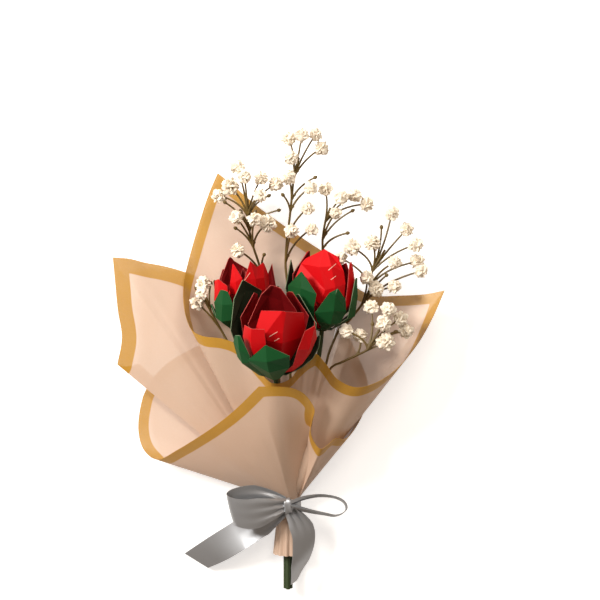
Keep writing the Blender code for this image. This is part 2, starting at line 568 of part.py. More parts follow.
def arm_rows(petal, bend, level, columns, head):
    """Return rows of points from a petal's bend at the waist to its tip."""
    rows = petal if isinstance(petal[0], tuple) else kite_rows(*petal, columns)
    angle = 0.5 * (rows[0][0][0] + rows[0][-1][0])
    spread = math.degrees(math.atan2(STRIP_HALF_WIDTH, bend))
    waist = [(angle + s * spread, bend / math.cos(math.radians(s * spread)), level)
             for s in np.linspace(-1.0, 1.0, columns)]
    return [[shell_point(*point, head) for point in row] for row in [waist] + list(rows)]


def unit_grid(one, two, bend, level, head):
    """Return the grid of one folded unit: a petal, the waist strip and the opposite petal."""
    columns = max(len(petal[0]) if isinstance(petal[0], tuple) else 3 for petal in (one, two))
    first = arm_rows(one, bend, level, columns, head)
    second = [row[::-1] for row in arm_rows(two, bend, level, columns, head)]
    return np.array(first[::-1] + second)


def build_flower(name, waist, tilt, lean, units, red, green):
    """Build the folded units of one flower."""
    head = head_frame(tilt, lean)
    for index, (label, one, two) in enumerate(units):
        layer = label.split("_")[0]
        level = (len(units) - 1 - index) * STRIP_PITCH
        grid = np.array(waist) + unit_grid(one, two, BENDS[layer], level, head)
        points, faces = sheet_solid(grid, PAPER_THICK)
        material = green if layer == "sepal" else red
        add_node(f"{name}_{label}", mesh_from(f"{name}_{label}", points, faces), material)


def hermite(start, start_slope, end, end_slope, count):
    """Return points along a curve with the given ends and end slopes."""
    points = []
    for i in range(count + 1):
        t = i / count
        points.append((2 * t ** 3 - 3 * t ** 2 + 1) * start + (t ** 3 - 2 * t ** 2 + t) * start_slope
                      + (3 * t ** 2 - 2 * t ** 3) * end + (t ** 3 - t ** 2) * end_slope)
    return points


def slot_point(radius, angle, y):
    """Return the centre of a stem's slot in the tie, with angle 0 at the right and 90 at the top."""
    turn = math.radians(angle)
    return np.array((radius * math.cos(turn), y, TIE_Z + radius * math.sin(turn)))


def build_flower_stem(name, waist, tilt, lean, material):
    """Build a flower's wire stem with the pad that its folded units sit on."""
    axis, _, _ = head_frame(tilt, lean)
    seat = np.array(waist) - axis * (0.5 * PAPER_THICK + TOUCH_GAP)
    neck = seat - axis * PAD_THICK
    slot = FLOWER_SLOTS[name]
    low = slot_point(FLOWER_SLOT_RADIUS, slot, TIE_Y - TIE_RUN)
    high = slot_point(FLOWER_SLOT_RADIUS, slot, TIE_Y + TIE_RUN)
    end = slot_point(FLOWER_SLOT_RADIUS, slot, FLOWER_STEM_END)
    length = float(np.linalg.norm(neck - high))
    rise = hermite(high, unit(neck - high) * 0.8 * length, neck, axis * 0.8 * length, 12)
    centres = [end, 0.5 * (end + low), low] + rise
    radii = [FLOWER_STEM_RADIUS] * len(centres)
    centres += [neck + axis * 0.01, seat]
    radii += [PAD_RADIUS, PAD_RADIUS]
    points, faces = tube_solid(centres, radii, STEM_SIDES)
    node = f"{name}_flower_stem"
    add_node(node, mesh_from(node, points, faces), material)


def ball_solid(centre, radius, lumps):
    """Return a lumpy ball for a cluster of florets."""
    work = bmesh.new()
    bmesh.ops.create_icosphere(work, subdivisions=2, radius=1.0)
    points = []
    for vertex in work.verts:
        scale = radius * (1.0 - HEAD_LUMPINESS * float(lumps.random()))
        points.append(np.array(centre) + scale * np.array(vertex.co))
    faces = [tuple(v.index for v in face.verts) for face in work.faces]
    work.free()
    return points, faces


def bud_solid(centre, direction):
    """Return a closed bud, pointed at both ends, along a direction."""
    along = unit(np.array(direction, dtype=float))
    start = np.array(centre) - 0.5 * BUD_LENGTH * along
    shape = ((0.0, 0.4), (0.3, 1.0), (0.7, 0.9), (1.0, 0.3))
    centres = [start + share * BUD_LENGTH * along for share, _ in shape]
    return tube_solid(centres, [BUD_RADIUS * size for _, size in shape], TWIG_SIDES)


def twig_path(main, target):
    """Return a twig's points from the main stem to its head, leaving along the stem."""
    target = np.array(target, dtype=float)
    below = [i for i in range(len(main) - 1) if main[i][1] < target[1] - 12.0]
    start_index = below[-1] if below else 1
    start = main[start_index]
    along = unit(main[start_index + 1] - start)
    middle = start + along * 0.55 * float(np.linalg.norm(target - start))
    middle = 0.55 * middle + 0.45 * 0.5 * (start + target)
    return [(1 - t) ** 2 * start + 2 * t * (1 - t) * middle + t ** 2 * target
            for t in (0.0, 0.33, 0.67, 1.0)]


def build_sprig(name, slot, stem, heads, buds, material):
    """Build one artificial sprig: a main stem, its twigs, flower heads and buds in one piece."""
    lumps = np.random.default_rng(RANDOM_SEED)
    low = slot_point(SPRIG_SLOT_RADIUS, slot, SPRIG_STEM_END)
    high = slot_point(SPRIG_SLOT_RADIUS, slot, TIE_Y + TIE_RUN + SPRIG_STEM_RADIUS)
    tied = slot_point(SPRIG_SLOT_RADIUS, slot, TIE_Y)
    main = smooth_run([low, tied, high] + [np.array(p, dtype=float) for p in stem], SPRIG_STEP)
    shares = np.clip((main[:, 1] - high[1]) / (main[-1][1] - high[1]), 0.0, 1.0)
    radii = SPRIG_STEM_RADIUS + (SPRIG_TOP_RADIUS - SPRIG_STEM_RADIUS) * shares
    solids = [tube_solid(main, radii, TWIG_SIDES + 1)]
    for x, y, z, radius in heads:
        path = twig_path(main, (x, y, z))
        solids.append(tube_solid(path, [TWIG_RADIUS] * len(path), TWIG_SIDES))
        solids.append(ball_solid((x, y, z), radius, lumps))
    for bud in buds:
        path = twig_path(main, bud)
        solids.append(tube_solid(path, [TWIG_RADIUS] * len(path), TWIG_SIDES))
        solids.append(bud_solid(bud, path[-1] - path[-2]))
    node = f"sprig_{name}"
    add_node(node, union_mesh(node, solids), material)


def strip_solid(path, directions, shares):
    """Return a flat ribbon strip along a path, with width directions and shares at its three marks."""
    middle = smooth_run(path, RIBBON_STEP)
    places = np.linspace(0.0, 1.0, len(middle))
    marks = (0.0, 0.5, 1.0)
    across = np.column_stack([np.interp(places, marks, [d[k] for d in directions]) for k in range(3)])
    narrowing = np.interp(places, (0.0, 0.25, 0.75, 1.0), (shares[0], shares[1], shares[1], shares[2]))
    widths = RIBBON_WIDTH * narrowing
    offsets = np.linspace(-0.5, 0.5, RIBBON_CROSS_COLUMNS)
    grid = np.array([[m + unit(a) * w * o for o in offsets] for m, a, w in zip(middle, across, widths)])
    return sheet_solid(grid, RIBBON_THICK)


def band_solid():
    """Return the ribbon's turns round the tie as one closed ring."""
    sides = 40
    profile = ((BAND_INNER, -0.5), (BAND_OUTER, -0.5), (BAND_OUTER, 0.5), (BAND_INNER, 0.5))
    points, faces = [], []
    for k in range(sides):
        for radius, along in profile:
            points.append(ring_point(radius, 360.0 * k / sides, TIE_Y + along * BAND_LENGTH))
    for k in range(sides):
        n = (k + 1) % sides
        for i in range(4):
            j = (i + 1) % 4
            faces.append((4 * k + i, 4 * n + i, 4 * n + j, 4 * k + j))
    return points, faces


def knot_solid():
    """Return the ribbon's knot, a rounded block on top of the band."""
    work = bmesh.new()
    bmesh.ops.create_icosphere(work, subdivisions=2, radius=1.0)
    centre = np.array((0.0, TIE_Y + KNOT_OFFSET, TIE_Z + BAND_OUTER - KNOT_SINK + 0.5 * KNOT_SIZE[2]))
    points = []
    for vertex in work.verts:
        flat = np.sign(vertex.co) * np.abs(vertex.co) ** 0.7
        points.append(centre + 0.5 * np.array(KNOT_SIZE) * flat)
    faces = [tuple(v.index for v in face.verts) for face in work.faces]
    work.free()
    return points, faces


def build_ribbon(material):
    """Build the ribbon: its turns round the tie, the knot, two loops and two tails."""
    solids = [band_solid(), knot_solid()] + [strip_solid(*strip) for strip in RIBBON_STRIPS]
    add_node("ribbon_bow", union_mesh("ribbon_bow", solids), material)


def main():
    """Build the whole bouquet."""
    clear_scene()
    red = make_material("red_paper", RED, 0.7)
    green = make_material("green_paper", GREEN, 0.75)
    stem = make_material("stem_tape", STEM_GREEN, 0.7)
    twig = make_material("sprig_plastic", TWIG_OLIVE, 0.6)
    film = make_material("wrap_film", CREAM, 0.45)
    satin = make_material("grey_satin", GREY, 0.35)
    for name, waist, tilt, lean, units in FLOWERS:
        build_flower(name, waist, tilt, lean, units, red, green)
        build_flower_stem(name, waist, tilt, lean, stem)
    for name, (slot, path, heads, buds) in SPRIGS.items():
        build_sprig(name, slot, path, heads, buds, twig)
    build_films(film)
    build_ribbon(satin)


main()
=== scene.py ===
"""Looks of a tied bouquet of folded paper flowers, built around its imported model.

Design values are in millimetres, as in the part's own source, and become metres when a mesh is made.
"""

import logging
import math
from dataclasses import dataclass, field
from enum import Enum, IntEnum

import bmesh
import bpy
import numpy as np
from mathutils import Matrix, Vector
from mathutils.bvhtree import BVHTree

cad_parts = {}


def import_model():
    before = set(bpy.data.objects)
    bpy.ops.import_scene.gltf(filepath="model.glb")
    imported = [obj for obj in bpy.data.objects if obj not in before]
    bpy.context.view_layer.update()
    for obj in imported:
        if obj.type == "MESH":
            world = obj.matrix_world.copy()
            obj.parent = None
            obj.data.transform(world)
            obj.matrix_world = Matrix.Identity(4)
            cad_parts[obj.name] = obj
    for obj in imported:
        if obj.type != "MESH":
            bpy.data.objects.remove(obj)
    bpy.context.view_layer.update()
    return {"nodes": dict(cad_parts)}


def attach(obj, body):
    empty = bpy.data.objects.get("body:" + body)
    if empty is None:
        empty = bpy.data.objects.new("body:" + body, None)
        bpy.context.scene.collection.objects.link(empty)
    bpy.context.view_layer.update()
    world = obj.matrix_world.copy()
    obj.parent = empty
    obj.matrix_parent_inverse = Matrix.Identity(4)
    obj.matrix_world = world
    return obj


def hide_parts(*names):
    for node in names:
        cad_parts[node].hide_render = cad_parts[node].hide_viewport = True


LOG = logging.getLogger("bouquet")
MM = 0.001
SEED = 11
Array = np.ndarray
Faces = list[tuple[int, ...]]
Point = tuple[float, float, float]
Tint = tuple[float, float, float]
Colour = tuple[float, float, float, float]

# Sizes shared with the part's source
TIE_Y = -137.0
BAND_LENGTH = 12.0
INNER_RING = 7.278
FILM_PITCH = 0.9
BAND_INNER = INNER_RING + 2.0 * FILM_PITCH + 0.5
BAND_OUTER = BAND_INNER + 1.0
TIE_Z = BAND_OUTER + 0.2
TIE_RUN = 0.5 * BAND_LENGTH + 1.5
FLOWER_SLOT_RADIUS = 2.2517
SPRIG_SLOT_RADIUS = FLOWER_SLOT_RADIUS + 3.3


def unit(vector: Array) -> Array:
    """Return a vector of length one."""
    return vector / max(float(np.linalg.norm(vector)), 1e-9)


def smooth_run(points: list[Point] | Array, step: float) -> Array:
    """Read points along a smooth curve through the given points.

    Args:
        points: The curve's own points.
        step: The rough distance between the points that are read.

    Returns:
        One row for each point.
    """
    pts = np.array(points, dtype=float)
    padded = np.vstack([2.0 * pts[0] - pts[1], pts, 2.0 * pts[-1] - pts[-2]])
    result = [pts[0]]
    for k in range(1, len(padded) - 2):
        p0, p1, p2, p3 = padded[k - 1:k + 3]
        count = max(1, round(float(np.linalg.norm(p2 - p1)) / step))
        for i in range(1, count + 1):
            t = i / count
            result.append(0.5 * (2.0 * p1 + (p2 - p0) * t
                                 + (2.0 * p0 - 5.0 * p1 + 4.0 * p2 - p3) * t ** 2
                                 + (3.0 * p1 - p0 - 3.0 * p2 + p3) * t ** 3))
    return np.array(result)


def grid_normals(grid: Array) -> Array:
    """Return a unit normal for each point of a grid of rows and columns."""
    down = np.gradient(grid, axis=0)
    along = np.gradient(grid, axis=1)
    normals = np.cross(down, along)
    lengths = np.maximum(np.linalg.norm(normals, axis=2, keepdims=True), 1e-9)
    return normals / lengths


def linked(name: str, data: bpy.types.ID) -> bpy.types.Object:
    """Return a new object for some data, linked to the scene."""
    made = bpy.data.objects.new(name, data)
    bpy.context.scene.collection.objects.link(made)
    return made


@dataclass
class MeshParts:
    """Points and faces of a mesh in the making, in millimetres."""

    points: list[Array] = field(default_factory=list)
    faces: Faces = field(default_factory=list)
    values: list[float] = field(default_factory=list)

    def add(self, points: Array, faces: Faces, values: Array | None = None) -> None:
        """Add a closed body.

        Args:
            points: Its points, one row each.
            faces: Its faces, counted from its own first point.
            values: One value for each point, or none for zeros.
        """
        start = len(self.points)
        self.points.extend(points)
        self.faces.extend(tuple(start + i for i in face) for face in faces)
        self.values.extend([0.0] * len(points) if values is None else list(values))

    def to_object(self, name: str, material: bpy.types.Material, smooth_angle: float,
                  value_name: str = "") -> bpy.types.Object:
        """Make the mesh an object in metres.

        Args:
            name: The object's name.
            material: Its material.
            smooth_angle: Edges that turn further than this many degrees stay sharp.
            value_name: The attribute that takes the points' values, or nothing.

        Returns:
            The linked object, with its faces turned outwards.
        """
        mesh = bpy.data.meshes.new(name)
        mesh.from_pydata([tuple(float(c) * MM for c in p) for p in self.points], [], self.faces)
        mesh.materials.append(material)
        if value_name:
            layer = mesh.attributes.new(value_name, "FLOAT", "POINT")
            layer.data.foreach_set("value", [float(v) for v in self.values])
        work = bmesh.new()
        work.from_mesh(mesh)
        bmesh.ops.recalc_face_normals(work, faces=work.faces)
        work.to_mesh(mesh)
        work.free()
        mesh.shade_smooth()
        mesh.set_sharp_from_angle(angle=math.radians(smooth_angle))
        return linked(name, mesh)


def sheet_body(grid: Array, thickness: float) -> tuple[Array, Faces]:
    """Return the points and faces of a closed sheet around a grid of middle points.

    Args:
        grid: The middle points, as rows and columns.
        thickness: The sheet's thickness.

    Returns:
        The upper points, then the lower ones, and the faces, the rim's last.
    """
    rows, columns, _ = grid.shape
    offset = grid_normals(grid) * 0.5 * thickness
    points = np.vstack([(grid + offset).reshape(-1, 3), (grid - offset).reshape(-1, 3)])
    under = rows * columns
    faces: Faces = []
    for i in range(rows - 1):
        for j in range(columns - 1):
            a, b = i * columns + j, (i + 1) * columns + j
            faces.append((a, b, b + 1, a + 1))
            faces.append((a + under, a + 1 + under, b + 1 + under, b + under))
    rim = list(range(columns)) + [i * columns + columns - 1 for i in range(1, rows)]
    rim += [(rows - 1) * columns + j for j in range(columns - 2, -1, -1)]
    rim += [i * columns for i in range(rows - 2, 0, -1)]
    for a, b in zip(rim, rim[1:] + rim[:1]):
        faces.append((a, b, b + under, a + under))
    return points, faces


def tube_body(centres: Array, radii: Array, sides: int) -> tuple[Array, Faces]:
    """Return the points and faces of a closed tube along a path.

    Args:
        centres: The path's points.
        radii: The tube's radius at each of them.
        sides: The number of points round the tube.

    Returns:
        The points, ring after ring, and the faces with both caps.
    """
    side = np.array((0.0, 0.0, 1.0))
    points = []
    for index, (centre, radius) in enumerate(zip(centres, radii)):
        low, high = max(index - 1, 0), min(index + 1, len(centres) - 1)
        along = unit(centres[high] - centres[low])
        side = unit(side - along * float(np.dot(side, along)))
        other = np.cross(along, side)
        for k in range(sides):
            turn = 2.0 * math.pi * k / sides
            points.append(centre + radius * (math.cos(turn) * side + math.sin(turn) * other))
    faces: Faces = []
    for ring in range(len(centres) - 1):
        for k in range(sides):
            a, b = ring * sides + k, ring * sides + (k + 1) % sides
            faces.append((a, b, b + sides, a + sides))
    last = (len(centres) - 1) * sides
    faces.append(tuple(range(sides))[::-1])
    faces.append(tuple(range(last, last + sides)))
    return np.array(points), faces


def claim(piece: bpy.types.Object, slot: str, *nodes: str) -> None:
    """Ride a piece on the one body and replace its solids.

    Args:
        piece: The finished piece.
        slot: Not used.
        nodes: The solids that the piece stands for.
    """
    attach(piece, "root")
    if nodes:
        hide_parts(*nodes)
    LOG.info("%s: %d faces", piece.name, len(piece.data.polygons))


class Graph:
    """A node tree in the making."""

    def __init__(self, tree: bpy.types.NodeTree) -> None:
        """Keep the tree that nodes are added to."""
        self.tree = tree

    def node(self, kind: str, inputs: dict | None = None, **settings: object) -> bpy.types.Node:
        """Add a node.

        Args:
            kind: The node's type name.
            inputs: Values or sockets for its inputs, by name or number.
            settings: Its own properties.

        Returns:
            The new node.
        """
        made = self.tree.nodes.new(kind)
        for name, value in settings.items():
            setattr(made, name, value)
        for name, value in (inputs or {}).items():
            if isinstance(value, bpy.types.NodeSocket):
                self.tree.links.new(value, made.inputs[name])
            else:
                made.inputs[name].default_value = value
        return made

    def link(self, value: bpy.types.NodeSocket, node: bpy.types.Node, name: str) -> None:
        """Link a socket to one of a node's inputs."""
        self.tree.links.new(value, node.inputs[name])

    def maths(self, operation: str, a: object, b: object = 0.0, c: object = 0.0) -> bpy.types.NodeSocket:
        """Add a Math node and return its result."""
        return self.node("ShaderNodeMath", {0: a, 1: b, 2: c}, operation=operation).outputs[0]

    def vector(self, operation: str, a: object, b: object) -> bpy.types.NodeSocket:
        """Add a Vector Math node and return its vector."""
        return self.node("ShaderNodeVectorMath", {0: a, 1: b}, operation=operation).outputs[0]

    def mix(self, share: object, a: object, b: object) -> bpy.types.NodeSocket:
        """Add a colour Mix node and return its result."""
        node = self.node("ShaderNodeMix", {0: share, 6: a, 7: b}, data_type="RGBA")
        return node.outputs[2]

    def ramp(self, value: object, low: float, high: float) -> bpy.types.NodeSocket:
        """Map a value between low and high smoothly to 0 to 1."""
        node = self.node("ShaderNodeMapRange", {0: value, 1: low, 2: high}, interpolation_type="SMOOTHSTEP")
        return node.outputs[0]


def colour(red: float, green: float, blue: float) -> Colour:
    """Return a linear colour from display values of 0 to 255."""
    linear = [(c / 255.0 / 12.92) if c <= 10.3 else ((c / 255.0 + 0.055) / 1.055) ** 2.4
              for c in (red, green, blue)]
    return (*linear, 1.0)


def surface_group() -> bpy.types.NodeTree:
    """Build the shared group for fine grain and broad unevenness, once.

    Returns:
        The group, which gives a tone, a height and the broad noise by itself.
    """
    known = bpy.data.node_groups.get("uneven_surface")
    if known:
        return known
    tree = bpy.data.node_groups.new("uneven_surface", "ShaderNodeTree")
    face = tree.interface
    face.new_socket("Vector", in_out="INPUT", socket_type="NodeSocketVector")
    for name, value in (("Fine Scale", 900.0), ("Broad Scale", 25.0), ("Fine Share", 0.5), ("Stretch", 1.0)):
        face.new_socket(name, in_out="INPUT", socket_type="NodeSocketFloat").default_value = value
    for name in ("Tone", "Height", "Broad"):
        face.new_socket(name, in_out="OUTPUT", socket_type="NodeSocketFloat")
    graph = Graph(tree)
    given = graph.node("NodeGroupInput").outputs
    scale = graph.node("ShaderNodeCombineXYZ", {0: 1.0, 1: given["Stretch"], 2: 1.0})
    vector = graph.vector("MULTIPLY", given["Vector"], scale.outputs[0])
    fine = graph.node("ShaderNodeTexNoise", {
        "Vector": vector, "Scale": given["Fine Scale"], "Detail": 3.0, "Roughness": 0.6})
    broad = graph.node("ShaderNodeTexNoise", {
        "Vector": given["Vector"], "Scale": given["Broad Scale"], "Detail": 2.0})
    blend = graph.node("ShaderNodeMix", {0: given["Fine Share"], 2: broad.outputs[0], 3: fine.outputs[0]})
    graph.node("NodeGroupOutput", {
        "Tone": blend.outputs[0], "Height": fine.outputs[0], "Broad": broad.outputs[0]})
    return tree


@dataclass(frozen=True)
class Grain:
    """How uneven a surface is: noise scales per metre, the fine noise's share, and bumps in millimetres."""

    fine_scale: float
    broad_scale: float
    fine_share: float
    bump_strength: float
    bump_height: float
    stretch: float = 1.0

    def add(self, graph: Graph, shader: bpy.types.Node) -> bpy.types.Node:
        """Add the shared group on object coordinates.

        Args:
            graph: The material's graph.
            shader: Its Principled node, which takes the bumps.

        Returns:
            The group's node.
        """
        place = graph.node("ShaderNodeTexCoord")
        rough = graph.node("ShaderNodeGroup", {
            "Vector": place.outputs["Object"], "Fine Scale": self.fine_scale, "Broad Scale": self.broad_scale,
            "Fine Share": self.fine_share, "Stretch": self.stretch}, node_tree=surface_group())
        bump = graph.node("ShaderNodeBump", {
            "Height": rough.outputs["Height"], "Strength": self.bump_strength,
            "Distance": self.bump_height * MM})
        graph.link(bump.outputs[0], shader, "Normal")
        return rough


@dataclass(frozen=True)
class Finish:
    """A finish whose colour varies between two tones, where its noise is high and where it is low."""

    name: str
    high: Colour
    low: Colour
    grain: Grain

    def start(self) -> tuple[bpy.types.Material, Graph, bpy.types.Node, bpy.types.Node]:
        """Make the material.

        Returns:
            The material, its graph, its Principled node and the node of its uneven surface.
        """
        material = bpy.data.materials.new(self.name)
        material.use_nodes = True
        graph = Graph(material.node_tree)
        shader = material.node_tree.nodes["Principled BSDF"]
        return material, graph, shader, self.grain.add(graph, shader)

    def tone(self, graph: Graph, rough: bpy.types.Node) -> bpy.types.NodeSocket:
        """Return the colour between the two tones."""
        return graph.mix(rough.outputs["Tone"], self.low, self.high)


@dataclass(frozen=True)
class PaperFinish(Finish):
    """Matt coloured folding paper with fibres and soft unevenness."""

    grain: Grain = Grain(1400.0, 40.0, 0.45, 0.5, 0.05)
    roughness: float = 0.65
    roughness_spread: float = 0.18
    specular: float = 0.2

    def material(self) -> bpy.types.Material:
        """Return the paper's material, whose roughness follows its fibres."""
        material, graph, shader, rough = self.start()
        graph.link(self.tone(graph, rough), shader, "Base Color")
        lowest = self.roughness - 0.5 * self.roughness_spread
        value = graph.maths("MULTIPLY_ADD", rough.outputs["Height"], self.roughness_spread, lowest)
        graph.link(value, shader, "Roughness")
        shader.inputs["Specular IOR Level"].default_value = self.specular
        return material


@dataclass(frozen=True)
class FilmFinish(Finish):
    """Frosted film that lets light through, with a gold printed border along its edge."""

    high: Colour = colour(222, 190, 164)
    low: Colour = colour(236, 211, 191)
    grain: Grain = Grain(700.0, 16.0, 0.3, 0.2, 0.03)
    border: float = 8.5
    border_wander: float = 1.2
    border_blur: tuple[float, float] = (0.3, 0.9)
    gold: Colour = colour(218, 168, 66)
    deep_gold: Colour = colour(184, 132, 34)
    solidity: float = 0.62
    border_solidity: float = 0.76
    roughness: float = 0.34
    roughness_spread: float = 0.14

    def material(self) -> bpy.types.Material:
        """Return the film's material, which reads the distance from the edge."""
        material, graph, shader, rough = self.start()
        edge = graph.node("ShaderNodeAttribute", attribute_name="from_edge")
        wander = graph.maths("MULTIPLY_ADD", rough.outputs["Broad"], self.border_wander, edge.outputs["Fac"])
        inside = graph.ramp(wander, *(self.border + blur for blur in self.border_blur))
        gold = graph.mix(rough.outputs["Tone"], self.gold, self.deep_gold)
        graph.link(graph.mix(inside, gold, self.tone(graph, rough)), shader, "Base Color")
        thinning = self.solidity - self.border_solidity
        graph.link(graph.maths("MULTIPLY_ADD", inside, thinning, self.border_solidity), shader, "Alpha")
        gloss = graph.maths("MULTIPLY_ADD", rough.outputs["Broad"], self.roughness_spread, self.roughness)
        graph.link(gloss, shader, "Roughness")
        return material


@dataclass(frozen=True)
class PlainFinish(Finish):
    """Tape, twig, foam or satin: two tones with one roughness."""

    roughness: float = 0.5
    metallic: float = 0.0
    sheen: float = 0.0

    def material(self) -> bpy.types.Material:
        """Return the material."""
        material, graph, shader, rough = self.start()
        graph.link(self.tone(graph, rough), shader, "Base Color")
        shader.inputs["Roughness"].default_value = self.roughness
        shader.inputs["Metallic"].default_value = self.metallic
        shader.inputs["Sheen Weight"].default_value = self.sheen
        return material


@dataclass(frozen=True)
class Crease:
    """A soft fold from the tie to the edge: points of the edge and how far the film sinks there."""

    points: tuple[Point, ...]
    depths: tuple[float, ...]


@dataclass
class Film:
    """One wrapping film, gathered at the tie and open at its edge."""

    name: str
    runs: tuple[tuple[Point, ...], ...]
    bordered: tuple[int, ...]
    ring: float
    first_angle: float
    last_angle: float
    flat: tuple[float, float]
    finish: FilmFinish
    creases: tuple[Crease, ...] = ()
    thickness: float = 0.22
    tail: float = 30.0
    tail_flare: float = 1.25
    floor_share: float = 0.5
    floor_blend: float = 9.0
    edge_step: float = 2.2
    row_step: float = 3.4
    least_rows: int = 8
    tail_rows: int = 12
    tie_rows: int = 5
    pleats: int = 13
    pleat_depth: float = 0.9
    ripple: float = 0.07
    crease_power: float = 0.8
    smooth_angle: float = 60.0

    def edge(self) -> tuple[Array, Array]:
        """Find the film's edge.

        Returns:
            The edge's points, and which of them carry the border.
        """
        points, marks = [], []
        for index, run in enumerate(self.runs):
            part = smooth_run(run, self.edge_step)
            part = part if index == 0 else part[1:]
            points.append(part)
            marks += [index in self.bordered] * len(part)
        joined = np.vstack(points)
        lowest = min(point[2] for run in self.runs for point in run)
        joined[:, 2] = np.maximum(joined[:, 2], lowest)
        return joined, np.array(marks)

    def angles(self, edge: Array) -> Array:
        """Share the edge's points out round the tie.

        Args:
            edge: The edge's points.

        Returns:
            Each point's angle round the tie, in radians.
        """
        tie = np.array((0.0, TIE_Y, TIE_Z))
        directions = (edge - tie) / np.linalg.norm(edge - tie, axis=1, keepdims=True)
        steps = np.linalg.norm(np.diff(directions, axis=0), axis=1)
        shares = np.concatenate([[0.0], np.cumsum(steps)]) / float(np.sum(steps))
        return np.radians(self.first_angle + shares * (self.last_angle - self.first_angle))

    def grid(self, edge: Array) -> Array:
        """Find the film's middle points, from its tail to its edge.

        Args:
            edge: The edge's points.

        Returns:
            The points as rows and columns, with a column for each point of the edge.
        """
        angles = self.angles(edge)
        low, high = TIE_Y - TIE_RUN, TIE_Y + TIE_RUN
        rows = []
        for y in np.linspace(low - self.tail, low, self.tail_rows):
            share = (low - y) / self.tail
            radius = self.ring * (1.0 + (self.tail_flare - 1.0) * share)
            rows.append(self.ring_row(angles, y, radius, share))
        for y in np.linspace(low, high, self.tie_rows)[1:]:
            rows.append(self.ring_row(angles, y, self.ring, 0.0))
        return np.array(rows + self.open_rows(edge, rows[-1], angles))

    def open_rows(self, edge: Array, starts: Array, angles: Array) -> list[Array]:
        """Spread the film from the tie to its edge.

        Args:
            edge: The edge's points.
            starts: The tie's last row.
            angles: Each column's angle round the tie.

        Returns:
            The rows after the tie's last one. Columns with a low edge lie on the floor early.
        """
        bends = self.crease_offsets(edge)
        reach = float(np.max(np.linalg.norm(edge - starts, axis=1)))
        lying = np.clip(0.5 + (TIE_Z - edge[:, 2]) / self.floor_blend, 0.0, 1.0)
        rows = []
        for share in np.linspace(0.0, 1.0, max(self.least_rows, round(reach / self.row_step)))[1:]:
            row = starts + share * (edge - starts)
            drop = min(1.0, share / self.floor_share)
            row[:, 2] += lying * (drop - share) * (edge[:, 2] - starts[:, 2])
            lift = math.sin(math.pi * share)
            ripples = self.ripple * lift * np.sin(self.pleats * angles * 2.0 + 2.0 * share)
            row[:, 2] += (1.0 - lying) * (ripples - bends * lift ** self.crease_power)
            rows.append(row)
        return rows

    def crease_offsets(self, edge: Array) -> Array:
        """Add up the creases.

        Args:
            edge: The edge's points.

        Returns:
            How far each column of the film sinks, in the middle of its run.
        """
        offsets = np.zeros(len(edge))
        places = np.arange(len(edge))
        for crease in self.creases:
            marks = [int(np.argmin(np.linalg.norm(edge - np.array(p), axis=1))) for p in crease.points]
            offsets += np.interp(places, marks, crease.depths, 0.0, 0.0)
        return offsets

    def ring_row(self, angles: Array, y: float, radius: float, looseness: float) -> Array:
        """Return one row of the gathered film round the stems."""
        radii = radius + looseness * self.pleat_depth * np.sin(self.pleats * angles)
        return np.column_stack([-radii * np.sin(angles), np.full(len(angles), y),
                                TIE_Z - radii * np.cos(angles)])

    def from_edge(self, points: Array, lined: Array) -> Array:
        """Return each point's distance from the edge's bordered points."""
        return np.array([float(np.sqrt(np.min(np.sum((lined - p) ** 2, axis=1)))) for p in points])

    def build(self, supports: tuple[str, ...]) -> None:
        """Args:
            supports: Not used.
        """
        edge, marks = self.edge()
        grid = self.grid(edge)
        points, faces = sheet_body(grid, self.thickness)
        points[:, 2] = np.maximum(points[:, 2], 0.0)
        parts = MeshParts()
        parts.add(points, faces, self.from_edge(points, edge[marks]))
        piece = parts.to_object(f"{self.name}_film", self.finish.material(), self.smooth_angle, "from_edge")
        claim(piece, "wrap_film", self.name)


